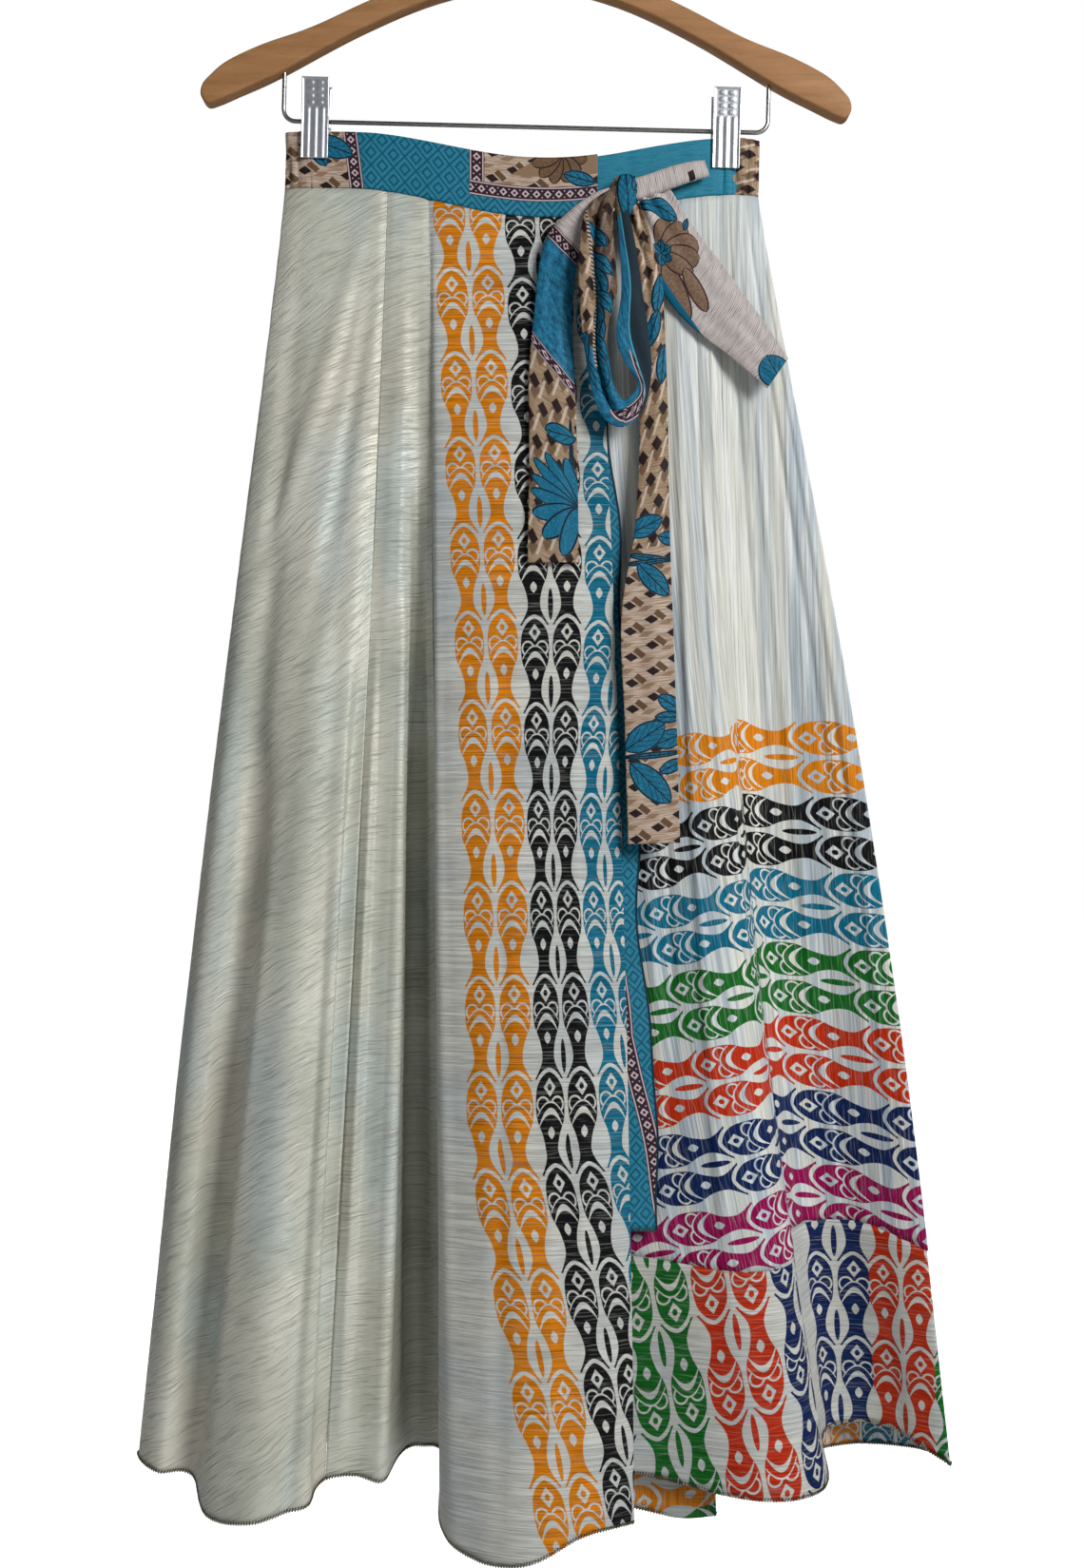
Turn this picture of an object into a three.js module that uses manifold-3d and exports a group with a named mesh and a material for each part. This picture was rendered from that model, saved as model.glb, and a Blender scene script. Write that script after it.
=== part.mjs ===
// A wrap skirt hung by its waistband from a wooden hanger with two sliding trouser clips.
// Millimetres, +Z up, front towards -Y, +X to the right as seen from the front.
// The origin is the inside top of the hook, where a rail carries the whole thing.
import * as THREE from "three";
import { mergeVertices } from "three/addons/utils/BufferGeometryUtils.js";
import Module from "manifold-3d";

const wasm = await Module();
wasm.setup();

// ---------------------------------------------------------------- driving dimensions
const CLOTH = 1.2; // wall of one layer of cloth
const BAND = 1.8; // wall of the waistband, which is cloth folded double
const TIE = 1.4; // wall of a tie, sewn from two layers and pressed flat
const GAP = 0.3; // clearance at a seam or a seat

const BAND_TOP = -198; // top edge of the waistband beside the clips
const BAND_BOTTOM = -236; // seam between waistband and panels beside the clips
const TOP_SAG = 17; // how far the band's top edge hangs down between the clips
const SEAM_SAG = 19; // and its lower edge
const SAG_CENTRE = 6;
const SAG_HALF = 136;
const BAND_TILT = 0.016; // the right end of the band hangs a little lower

const FOLD_GROWTH = 1.22; // how the depth of the folds grows from waist to hem
const SPREAD_GROWTH = 1.1; // how the width grows from waist to hem
const HEM_BAND_SHARE = 0.83; // where the printed hem band is sewn on, as a share of the length

const HANGER_TILT = THREE.MathUtils.degToRad(1.42); // the right arm hangs lower
const ARM_DEPTH = 13;
const HOOK_WIRE = 3.8; // diameters of the two wires
const BAR_WIRE = 3;
const HOOK_RADIUS = 22; // inside of the hook
const BAR_Z = -193; // height of the bar in the hanger's own frame
const BAR_BEND = 8;
const BAR_HALF = 164.7;
const CLIP_WIDTH = 18.4;
const CLIP_PLATE = 1.2;
const CLIP_AT = [-142.3, 136.2]; // middle of each clip along the bar

// ---------------------------------------------------------------- materials
const look = (color, roughness, metalness = 0) =>
  new THREE.MeshStandardMaterial({ color, roughness, metalness, side: THREE.DoubleSide });
const LOOKS = {
  satin: [0xb9b9a6, 0.38],
  cream: [0xcdcbbe, 0.55],
  crinkle: [0xc3c9c4, 0.5],
  printed: [0xb8a48c, 0.6],
  teal: [0x1f7a98, 0.6],
  tie: [0x8d7a6a, 0.65],
  wood: [0xb98a5e, 0.5],
  steel: [0x8d8b86, 0.3, 1],
  chrome: [0xc9ccd0, 0.15, 1],
};

// ---------------------------------------------------------------- the wrapped cloth
// One row for each fold, in order round the wrap: from the edge of the front flap to the left,
// round the back, and on under the flap. waist and hem are the fold's place along X at the top
// and at the hem, top and deep its place along Y there, low the height of the hem, and bow how
// far the line swings sideways halfway down.
const FOLDS = [
  { name: "wrap_edge", waist: 44, hem: 66, top: -9.0, deep: -62, low: -1116, bow: 5 },
  { name: "lip", waist: 26, hem: 52, top: -9.2, deep: -72, low: -1115, bow: 4 },
  { name: "soft_trough", waist: 6, hem: 31, top: -9.4, deep: -79, low: -1118, bow: 3 },
  { name: "middle", waist: -19, hem: -2, top: -9.3, deep: -84, low: -1133, bow: 1 },
  { name: "flap_crest", waist: -45, hem: -34, top: -9.0, deep: -72, low: -1136, bow: 0 },
  { name: "flap_fold", waist: -64, hem: -59, top: -8.6, deep: -48, low: -1125, bow: 0 },
  { name: "border_seam", waist: -70, hem: -61, top: -8.4, deep: 2, low: -1097, bow: 0 },
  { name: "valley", waist: -75, hem: -78, top: -8.1, deep: 20, low: -1099, bow: 0 },
  { name: "valley_side", waist: -80, hem: -91, top: -7.9, deep: 8, low: -1100, bow: 0 },
  { name: "ridge_edge", waist: -86, hem: -101, top: -7.6, deep: -16, low: -1108, bow: 0 },
  { name: "ridge", waist: -92, hem: -119, top: -7.3, deep: -14, low: -1105, bow: 1 },
  { name: "front_seam", waist: -98, hem: -138, top: -7.0, deep: -18, low: -1106, bow: 1 },
  { name: "fold_edge", waist: -109, hem: -147, top: -6.5, deep: -40, low: -1114, bow: 0 },
  { name: "fold_right", waist: -120, hem: -160, top: -5.4, deep: -46, low: -1116, bow: -1 },
  { name: "fold_crest", waist: -132, hem: -184, top: -4.8, deep: -52, low: -1121, bow: -2 },
  { name: "fold_left", waist: -143, hem: -214, top: -4.6, deep: -38, low: -1122, bow: -3 },
  { name: "roll_trough", waist: -152, hem: -232, top: -4.3, deep: -9, low: -1107, bow: -4 },
  { name: "roll_crest", waist: -161, hem: -252, top: -3.2, deep: -13, low: -1103, bow: -5 },
  { name: "left_side", waist: -168, hem: -270, top: 0, deep: 8, low: -1100, bow: -6 },
  { name: "back_1", waist: -160, hem: -258, top: 2.8, deep: 30, low: -1104, bow: -5 },
  { name: "back_2", waist: -142, hem: -222, top: 3.2, deep: 46, low: -1108, bow: -4 },
  { name: "back_3", waist: -110, hem: -174, top: 4.4, deep: 66, low: -1112, bow: -2 },
  { name: "back_4", waist: -76, hem: -120, top: 4.9, deep: 56, low: -1110, bow: 0 },
  { name: "back_5", waist: -44, hem: -70, top: 5.2, deep: 82, low: -1114, bow: 0 },
  { name: "back_6", waist: -12, hem: -14, top: 5.4, deep: 62, low: -1110, bow: 0 },
  { name: "back_7", waist: 20, hem: 42, top: 5.3, deep: 86, low: -1116, bow: 1 },
  { name: "back_8", waist: 50, hem: 94, top: 5.0, deep: 62, low: -1112, bow: 3 },
  { name: "back_9", waist: 80, hem: 144, top: 4.5, deep: 80, low: -1118, bow: 6 },
  { name: "back_10", waist: 106, hem: 190, top: 3.9, deep: 54, low: -1114, bow: 8 },
  { name: "back_11", waist: 130, hem: 236, top: 3.0, deep: 66, low: -1114, bow: 10 },
  { name: "back_12", waist: 146, hem: 276, top: 2.6, deep: 38, low: -1108, bow: 14 },
  { name: "right_side", waist: 153, hem: 286, top: 0, deep: 6, low: -1106, bow: 16 },
  { name: "right_edge", waist: 149, hem: 267, top: -3.2, deep: 14, low: -1096, bow: 12 },
  { name: "right_ridge", waist: 143, hem: 252, top: -4.1, deep: 26, low: -1089, bow: 5 },
  { name: "right_soft", waist: 137, hem: 231, top: -4.4, deep: 36, low: -1087, bow: -3 },
  { name: "hollow", waist: 132, hem: 209, top: -4.5, deep: 32, low: -1089, bow: -10 },
  { name: "under_seam", waist: 127, hem: 197, top: -4.6, deep: 2, low: -1088, bow: -15 },
  { name: "under_fold", waist: 122, hem: 196, top: -4.9, deep: -28, low: -1104, bow: -17 },
  { name: "fold_side", waist: 115, hem: 177, top: -5.1, deep: -48, low: -1106, bow: -14 },
  { name: "under_crest", waist: 105, hem: 151, top: -5.3, deep: -52, low: -1106, bow: -10 },
  { name: "under_ridge", waist: 90, hem: 124, top: -5.3, deep: -44, low: -1105, bow: -5 },
  { name: "under_soft", waist: 72, hem: 101, top: -5.2, deep: -36, low: -1102, bow: 0 },
  { name: "emerges", waist: 50, hem: 74, top: -5.0, deep: -30, low: -1098, bow: 0 },
  { name: "behind_flap", waist: 12, hem: 25, top: -4.8, deep: -28, low: -1095, bow: 0 },
  { name: "lap_end", waist: -26, hem: -28, top: -4.6, deep: -26, low: -1096, bow: 0 },
];
const at = (name) => FOLDS.findIndex((row) => row.name === name);

const between = (a, b, t) => a + (b - a) * t;

// A smooth curve through the rows' values, at place s counted in rows.
function along(rows, key, s) {
  const i = Math.min(Math.max(Math.floor(s), 0), rows.length - 2);
  const t = s - i;
  const value = (k) => rows[Math.min(Math.max(k, 0), rows.length - 1)][key];
  const [a, b, c, d] = [value(i - 1), value(i), value(i + 1), value(i + 2)];
  const slopeB = (c - a) / 2;
  const slopeC = (d - b) / 2;
  return b + t * (slopeB + t * (3 * (c - b) - 2 * slopeB - slopeC + t * (2 * (b - c) + slopeB + slopeC)));
}

// How much of the sag between the clips there is at x.
function sagAt(x) {
  const reach = Math.min(Math.abs((x - SAG_CENTRE) / SAG_HALF), 1);
  return Math.cos((reach * Math.PI) / 2) ** 2;
}

// Height of one of the waistband's edges at x: it hangs down between the clips.
const edgeHeight = (level, sag, x) => level - sag * sagAt(x) - BAND_TILT * (x - CLIP_AT[0]);

// A point of the wrapped skirt: s counts rows round the wrap, v runs from waist 0 to hem 1.
function skirtPoint(s, v) {
  const waist = along(FOLDS, "waist", s);
  const top = along(FOLDS, "top", s);
  const seam = edgeHeight(BAND_BOTTOM, SEAM_SAG, waist);
  const bow = along(FOLDS, "bow", s) * Math.sin(Math.PI * v);
  return new THREE.Vector3(
    between(waist, along(FOLDS, "hem", s), v ** SPREAD_GROWTH) + bow,
    between(top, along(FOLDS, "deep", s), v ** FOLD_GROWTH),
    between(seam - GAP, along(FOLDS, "low", s), v),
  );
}

// A point of the waistband, v from its lower edge 0 to its top edge 1.
function bandPoint(s, v) {
  const waist = along(FOLDS, "waist", s);
  const top = along(FOLDS, "top", s);
  const low = edgeHeight(BAND_BOTTOM, SEAM_SAG, waist);
  const high = edgeHeight(BAND_TOP, TOP_SAG, waist);
  return new THREE.Vector3(waist, top, between(low, high, v));
}

// The normal of a surface point(s, v), by small steps.
function normalAt(point, s, v) {
  const d = 1e-3;
  const across = point(s + d, v).sub(point(s - d, v));
  const down = point(s, Math.min(v + d, 1)).sub(point(s, Math.max(v - d, 0)));
  return across.cross(down).normalize();
}

// ---------------------------------------------------------------- mesh builders
function geometryOf(vertices, faces) {
  const geometry = new THREE.BufferGeometry();
  const places = vertices.flatMap((vertex) => vertex.toArray());
  geometry.setAttribute("position", new THREE.Float32BufferAttribute(places, 3));
  geometry.setIndex(faces.flat());
  return geometry;
}

// Signed volume of a closed mesh, so that a builder can turn its faces outwards.
function volumeOf(vertices, faces) {
  const six = faces.map(([a, b, c]) => vertices[a].dot(vertices[b].clone().cross(vertices[c])));
  return six.reduce((sum, value) => sum + value, 0) / 6;
}

// A wall of even thickness on a surface given by point(s, v), over the listed s and v.
function wallGeometry(point, ss, vs, thickness) {
  const columns = ss.length;
  const rows = vs.length;
  const side = columns * rows;
  const vertices = [];
  for (const sign of [1, -1])
    for (const v of vs)
      for (const s of ss)
        vertices.push(point(s, v).addScaledVector(normalAt(point, s, v), (sign * thickness) / 2));
  const faces = [];
  const quad = (a, b, c, d) => faces.push([a, b, c], [a, c, d]);
  for (let j = 0; j + 1 < rows; j++)
    for (let i = 0; i + 1 < columns; i++) {
      const k = j * columns + i;
      quad(k, k + 1, k + columns + 1, k + columns);
      quad(side + k, side + k + columns, side + k + columns + 1, side + k + 1);
    }
  const rim = [];
  for (let i = 0; i < columns - 1; i++) rim.push(i);
  for (let j = 0; j < rows - 1; j++) rim.push(j * columns + columns - 1);
  for (let i = columns - 1; i > 0; i--) rim.push((rows - 1) * columns + i);
  for (let j = rows - 1; j > 0; j--) rim.push(j * columns);
  rim.forEach((a, i) => {
    const b = rim[(i + 1) % rim.length];
    quad(b, a, side + a, side + b);
  });
  if (volumeOf(vertices, faces) < 0) faces.forEach((face) => face.reverse());
  return geometryOf(vertices, faces);
}

// Places along s from one row to another, with each seam edge drawn in by half the gap.
function stepsBetween(point, from, to, perRow) {
  const count = Math.round((to - from) * perRow);
  const list = Array.from({ length: count + 1 }, (_, i) => between(from, to, i / count));
  const inset = (s, towards) => {
    const step = (towards - s) * 1e-3;
    const span = point(s, 0).distanceTo(point(s + step, 0));
    return s + (step * (GAP / 2)) / Math.max(span, 1e-4);
  };
  list[0] = inset(list[0], list[1]);
  list[count] = inset(list[count], list[count - 1]);
  return list;
}

const levels = (from, to, count) => Array.from({ length: count + 1 }, (_, i) => between(from, to, i / count));

function named(name, geometry, finish) {
  const mesh = new THREE.Mesh(geometry, look(...LOOKS[finish]));
  mesh.name = name;
  return mesh;
}

// ---------------------------------------------------------------- booleans
function solidOf(geometry) {
  const bare = geometry.clone();
  bare.deleteAttribute("normal");
  bare.deleteAttribute("uv");
  const merged = mergeVertices(bare, 1e-4);
  return new wasm.Manifold(
    new wasm.Mesh({
      numProp: 3,
      vertProperties: new Float32Array(merged.attributes.position.array),
      triVerts: new Uint32Array(merged.index.array),
    }),
  );
}

function geometryFrom(solid) {
  const mesh = solid.getMesh();
  const geometry = new THREE.BufferGeometry();
  geometry.setAttribute("position", new THREE.BufferAttribute(mesh.vertProperties, 3));
  geometry.setIndex(new THREE.BufferAttribute(mesh.triVerts, 1));
  return geometry;
}

const cut = (geometry, ...tools) =>
  geometryFrom(tools.reduce((solid, tool) => solid.subtract(solidOf(tool)), solidOf(geometry)));

// ---------------------------------------------------------------- skirt panels
// The lengths that a panel can cover, as shares from the waist to the hem.
const SEAM_SHARE = GAP / 870; // the gap across a level seam, as a share of the skirt's length
const SPANS = {
  whole: { top: 0, bottom: 1, down: 8 },
  body: { top: 0, bottom: HEM_BAND_SHARE, down: 7 },
  hem: { top: HEM_BAND_SHARE + SEAM_SHARE, bottom: 1, down: 2 },
};
const CELLS = 2; // cells from each fold row to the next

// One row for each panel: the fold rows it runs between and the length it covers.
const PANELS = [
  { name: "border_panel", from: "wrap_edge", to: "border_seam", span: "whole", finish: "cream" },
  { name: "front_gore", from: "border_seam", to: "front_seam", span: "whole", finish: "satin" },
  { name: "side_gore", from: "front_seam", to: "back_1", span: "whole", finish: "satin" },
  { name: "back_left_gore", from: "back_1", to: "back_4", span: "whole", finish: "satin" },
  { name: "back_middle_gore", from: "back_4", to: "back_8", span: "whole", finish: "crinkle" },
  { name: "back_right_gore", from: "back_8", to: "back_12", span: "whole", finish: "crinkle" },
  { name: "right_gore", from: "back_12", to: "under_seam", span: "body", finish: "crinkle" },
  { name: "right_hem_band", from: "back_12", to: "under_seam", span: "hem", finish: "printed" },
  { name: "under_gore", from: "under_seam", to: "lap_end", span: "body", finish: "crinkle" },
  { name: "under_hem_band", from: "under_seam", to: "lap_end", span: "hem", finish: "printed" },
];

const skirt = new THREE.Group();
for (const panel of PANELS) {
  const span = SPANS[panel.span];
  const ss = stepsBetween(skirtPoint, at(panel.from), at(panel.to), CELLS);
  const vs = levels(span.top, span.bottom, span.down);
  skirt.add(named(panel.name, wallGeometry(skirtPoint, ss, vs, CLOTH), panel.finish));
}

// ---------------------------------------------------------------- waistband
const BANDS = [
  { name: "waistband_front", from: "wrap_edge", to: "back_1" },
  { name: "waistband_back", from: "back_1", to: "back_12" },
  { name: "waistband_under", from: "back_12", to: "lap_end" },
];
for (const band of BANDS) {
  const ss = stepsBetween(bandPoint, at(band.from), at(band.to), CELLS);
  skirt.add(named(band.name, wallGeometry(bandPoint, ss, [0, 0.5, 1], BAND), "teal"));
}

// ---------------------------------------------------------------- inner panels
// The inner panels hang behind the outer cloth, their tops lapped behind the waistband. Each
// line runs down a panel: where it leaves the waist and reaches its own hem along X and Y, and
// the height of that hem.
const INNER_LAP = 6; // how far an inner panel reaches up behind the waistband
const INNER_CLOTH = 1;
const INNER_PANELS = [
  {
    name: "inner_panel",
    finish: "teal",
    lines: [
      { waist: 16, hem: 30, top: -7.2, deep: -50, low: -930 },
      { waist: 30, hem: 58, top: -7.2, deep: -42, low: -933 },
      { waist: 43, hem: 86, top: -7.2, deep: -36, low: -935 },
    ],
  },
  {
    name: "under_inner_panel",
    finish: "printed",
    lines: [
      { waist: 44, hem: 66, top: -3.0, deep: -14, low: -1126 },
      { waist: 64, hem: 98, top: -3.0, deep: -20, low: -1130 },
      { waist: 84, hem: 126, top: -3.0, deep: -22, low: -1128 },
    ],
  },
];
for (const panel of INNER_PANELS) {
  const point = (s, v) => {
    const waist = along(panel.lines, "waist", s);
    const seam = edgeHeight(BAND_BOTTOM, SEAM_SAG, waist) + INNER_LAP;
    return new THREE.Vector3(
      between(waist, along(panel.lines, "hem", s), v),
      between(along(panel.lines, "top", s), along(panel.lines, "deep", s), v ** FOLD_GROWTH),
      between(seam, along(panel.lines, "low", s), v),
    );
  };
  const ss = levels(0, panel.lines.length - 1, CELLS * (panel.lines.length - 1));
  skirt.add(named(panel.name, wallGeometry(point, ss, levels(0, 1, 7), INNER_CLOTH), panel.finish));
}

// ---------------------------------------------------------------- the bow
const KNOT = { x: 61, y: -16, z: -246, wide: 10.5, deep: 9.5, tall: 17, lean: 0.12 };
function knotGeometry(extra = 0) {
  const ball = new THREE.SphereGeometry(1, 20, 14);
  ball.scale(KNOT.wide + extra, KNOT.deep + extra, KNOT.tall + extra);
  ball.rotateY(KNOT.lean);
  return ball.translate(KNOT.x, KNOT.y, KNOT.z);
}

// One row for each station down the middle of a stretch of tie: its place, its width, and how
// far its middle stands proud of its edges.
const TIES = [
  {
    name: "left_tail",
    stations: [
      { x: 55, z: -246, y: -20, wide: 12, proud: 2 },
      { x: 33, z: -266, y: -20, wide: 23, proud: 3 },
      { x: 19, z: -284, y: -18, wide: 24, proud: 3 },
      { x: 14, z: -325, y: -17, wide: 25, proud: 2 },
      { x: 13, z: -364, y: -19, wide: 30, proud: 2 },
      { x: 14, z: -422, y: -23, wide: 32, proud: 1 },
      { x: 14, z: -493, y: -28, wide: 34, proud: 1 },
    ],
  },
  {
    name: "left_loop_front",
    stations: [
      { x: 58, z: -248, y: -24, wide: 12, proud: 2 },
      { x: 43, z: -284, y: -31, wide: 24, proud: 3 },
      { x: 42, z: -321, y: -31, wide: 25, proud: 3 },
      { x: 44, z: -352, y: -31, wide: 23, proud: 3 },
      { x: 49, z: -384, y: -31, wide: 18, proud: 2 },
      { x: 55, z: -402, y: -31, wide: 11, proud: 1 },
    ],
  },
  {
    name: "left_loop_back",
    stations: [
      { x: 62, z: -252, y: -20, wide: 8, proud: 1 },
      { x: 64, z: -295, y: -23, wide: 9, proud: 1 },
      { x: 67, z: -333, y: -24, wide: 10, proud: 1 },
      { x: 68, z: -368, y: -25, wide: 11, proud: 1 },
      { x: 65, z: -396, y: -27, wide: 9, proud: 1 },
    ],
  },
  {
    name: "right_tail",
    stations: [
      { x: 66, z: -252, y: -17, wide: 12, proud: 1 },
      { x: 78, z: -295, y: -17, wide: 15, proud: 2 },
      { x: 80, z: -327, y: -18, wide: 16, proud: 2 },
      { x: 81, z: -371, y: -20, wide: 18, proud: 2 },
      { x: 81, z: -416, y: -22, wide: 19, proud: 2 },
      { x: 80, z: -470, y: -26, wide: 23, proud: 1 },
      { x: 76, z: -530, y: -32, wide: 34, proud: 1 },
      { x: 78, z: -600, y: -37, wide: 34, proud: 1 },
      { x: 80, z: -679, y: -42, wide: 34, proud: 1 },
    ],
  },
  {
    name: "right_loop_roll",
    thick: 5,
    stations: [
      { x: 64, z: -243, y: -16, wide: 12, proud: 2 },
      { x: 89, z: -234, y: -15, wide: 13, proud: 3 },
      { x: 105, z: -229, y: -14, wide: 12, proud: 3 },
      { x: 117, z: -226, y: -13, wide: 10, proud: 2 },
    ],
  },
  {
    name: "right_loop_flat",
    stations: [
      { x: 66, z: -250, y: -12, wide: 12, proud: 1 },
      { x: 88, z: -268, y: -11.5, wide: 30, proud: 2 },
      { x: 112, z: -302, y: -12, wide: 37, proud: 2 },
      { x: 134, z: -334, y: -13, wide: 33, proud: 2 },
      { x: 153, z: -355, y: -14, wide: 24, proud: 1 },
      { x: 163, z: -366, y: -14, wide: 14, proud: 1 },
    ],
  },
];

// A stretch of tie: u runs along it, counted in stations, and w across it from 0 to 1.
function tieSurface(stations) {
  return (u, w) => {
    const ahead = Math.min(u + 0.05, stations.length - 1);
    const behind = Math.max(u - 0.05, 0);
    const run = new THREE.Vector2(
      along(stations, "x", ahead) - along(stations, "x", behind),
      along(stations, "z", ahead) - along(stations, "z", behind),
    ).normalize();
    const off = (w - 0.5) * along(stations, "wide", u);
    return new THREE.Vector3(
      along(stations, "x", u) - run.y * off,
      along(stations, "y", u) - along(stations, "proud", u) * Math.sin(Math.PI * w) ** 0.8,
      along(stations, "z", u) + run.x * off,
    );
  };
}

skirt.add(named("bow_knot", knotGeometry(), "teal"));
for (const tie of TIES) {
  const surface = tieSurface(tie.stations);
  const us = levels(0, tie.stations.length - 1, 2 * (tie.stations.length - 1));
  const wall = wallGeometry(surface, us, levels(0, 1, 4), tie.thick ?? TIE);
  skirt.add(named(tie.name, cut(wall, knotGeometry(GAP + 0.1)), "tie"));
}

// ---------------------------------------------------------------- the hanger
const hanger = new THREE.Group();
hanger.rotation.y = HANGER_TILT;

// The left arm's outline from the joint to the tip and back, as points of two smooth edges.
const ARM_UPPER = [
  { x: 0, z: -66 },
  { x: -40, z: -82 },
  { x: -103, z: -109.5 },
  { x: -146, z: -130.5 },
  { x: -179, z: -143 },
  { x: -203, z: -155 },
  { x: -215.5, z: -166 },
];
const ARM_LOWER = [
  { x: -218, z: -184.5 },
  { x: -196, z: -176 },
  { x: -168, z: -162.5 },
  { x: -113, z: -131.5 },
  { x: -61, z: -108.5 },
  { x: 0, z: -93 },
];
const ARM_TIP = { x: -221, z: -176 };
const ARM_ROUND = 3;
function armGeometry(mirror) {
  const outline = new THREE.Shape();
  const upper = ARM_UPPER.map(({ x, z }) => new THREE.Vector2(mirror * x, z - ARM_ROUND));
  const lower = ARM_LOWER.map(({ x, z }) => new THREE.Vector2(mirror * x, z + ARM_ROUND));
  outline.moveTo(upper[0].x, upper[0].y);
  outline.splineThru(upper.slice(1));
  outline.quadraticCurveTo(mirror * ARM_TIP.x, ARM_TIP.z, lower[0].x, lower[0].y);
  outline.splineThru(lower.slice(1));
  const body = new THREE.ExtrudeGeometry(outline, {
    depth: ARM_DEPTH - 2 * ARM_ROUND,
    bevelThickness: ARM_ROUND,
    bevelSize: ARM_ROUND,
    bevelSegments: 2,
    curveSegments: 3,
  });
  return body.rotateX(Math.PI / 2).translate(0, ARM_DEPTH / 2 - ARM_ROUND, 0);
}

// A round bar along the Z axis, used to bore the holes for the wires.
function drill(radius, from, to, x) {
  const bit = new THREE.CylinderGeometry(radius, radius, to - from, 16);
  return bit.rotateX(Math.PI / 2).translate(x, 0, (from + to) / 2);
}
// A block past the middle joint, so that each arm ends flat there.
const jointBlock = (side) => new THREE.BoxGeometry(40, 60, 120).translate(side * (20 - GAP / 2), 0, -80);

const POST_TOP = BAR_Z + 38; // how far the bar's ends reach up into the arms
for (const [name, side] of [["hanger_arm_left", 1], ["hanger_arm_right", -1]]) {
  const wood = cut(
    armGeometry(side),
    jointBlock(side),
    drill(HOOK_WIRE / 2 + GAP, -86, -40, 0),
    drill(BAR_WIRE / 2 + GAP, -200, POST_TOP + 1, -side * BAR_HALF),
  );
  hanger.add(named(name, wood, "wood"));
}

function wireGeometry(curve, diameter, steps, sides) {
  const ring = new THREE.Shape();
  ring.absarc(0, 0, diameter / 2, 0, 2 * Math.PI);
  const options = { extrudePath: curve, steps, curveSegments: sides, bevelEnabled: false };
  return new THREE.ExtrudeGeometry(ring, options);
}

const hookTurn = HOOK_RADIUS + HOOK_WIRE / 2;
const hookRoute = [new THREE.Vector3(0, 0, -85), new THREE.Vector3(0, 0, -70), new THREE.Vector3(1, 0, -56)];
for (let angle = -50; angle <= 190; angle += 20) {
  const turn = THREE.MathUtils.degToRad(angle);
  hookRoute.push(new THREE.Vector3(hookTurn * Math.cos(turn), 0, -HOOK_RADIUS + hookTurn * Math.sin(turn)));
}
const hookCurve = new THREE.CatmullRomCurve3(hookRoute);
hanger.add(named("hanger_hook", wireGeometry(hookCurve, HOOK_WIRE, 44, 5), "steel"));

// The bar runs down from one arm, round a bend, along, and up into the other arm.
const barPoint = (x, z) => new THREE.Vector3(x, 0, z);
const barRoute = new THREE.CurvePath();
const corner = BAR_HALF - BAR_BEND;
const bend = [barPoint(-BAR_HALF, BAR_Z + BAR_BEND), barPoint(-BAR_HALF, BAR_Z), barPoint(-corner, BAR_Z)];
const farBend = bend.map((p) => barPoint(-p.x, p.z)).reverse();
barRoute.add(new THREE.LineCurve3(barPoint(-BAR_HALF, POST_TOP), bend[0]));
barRoute.add(new THREE.QuadraticBezierCurve3(...bend));
barRoute.add(new THREE.LineCurve3(bend[2], farBend[0]));
barRoute.add(new THREE.QuadraticBezierCurve3(...farBend));
barRoute.add(new THREE.LineCurve3(farBend[2], barPoint(BAR_HALF, POST_TOP)));
hanger.add(named("hanger_bar", wireGeometry(barRoute, BAR_WIRE, 76, 4), "steel"));

// ---------------------------------------------------------------- the clips
// The middle line of a leaf, as its distance from the bar's middle plane and its height above
// the bar: a handle that stands out, a seat at the spring and a jaw on the band.
const LEAF = [
  { out: 8.6, up: 27 },
  { out: 7.4, up: 14 },
  { out: 5.4, up: 3 },
  { out: 5.4, up: -2 },
  { out: 6.6, up: -7 },
  { out: 6.6, up: -27 },
];
const JAW_TOP = -5; // below this height above the bar a leaf is its jaw
const SPRING_OUTER = 4.5;
const SPRING_INNER = BAR_WIRE / 2 + GAP;
const SPRING_HALF = 7;
const JAW_SHIFT = { front: 0, back: -1.2 }; // the jaws close on the cloth, which lies a little forward

function leafGeometry(side, shift) {
  const outline = new THREE.Shape();
  const edge = (half) =>
    LEAF.map(({ out, up }) => new THREE.Vector2(side * (out + half) + (up < JAW_TOP ? shift : 0), up));
  outline.setFromPoints([...edge(CLIP_PLATE / 2), ...edge(-CLIP_PLATE / 2).reverse()]);
  const plate = new THREE.ExtrudeGeometry(outline, { depth: CLIP_WIDTH, bevelEnabled: false });
  // The outline is drawn in Y and Z and the plate runs along X.
  const turn = new THREE.Matrix4().makeBasis(
    new THREE.Vector3(0, 1, 0),
    new THREE.Vector3(0, 0, 1),
    new THREE.Vector3(1, 0, 0),
  );
  return plate.applyMatrix4(turn).translate(-CLIP_WIDTH / 2, 0, 0);
}

function springGeometry() {
  const profile = [
    [SPRING_INNER, -SPRING_HALF],
    [SPRING_OUTER, -SPRING_HALF],
    [SPRING_OUTER, SPRING_HALF],
    [SPRING_INNER, SPRING_HALF],
    [SPRING_INNER, -SPRING_HALF],
  ].map(([radius, place]) => new THREE.Vector2(radius, place));
  return new THREE.LatheGeometry(profile, 16).rotateZ(Math.PI / 2);
}

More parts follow.
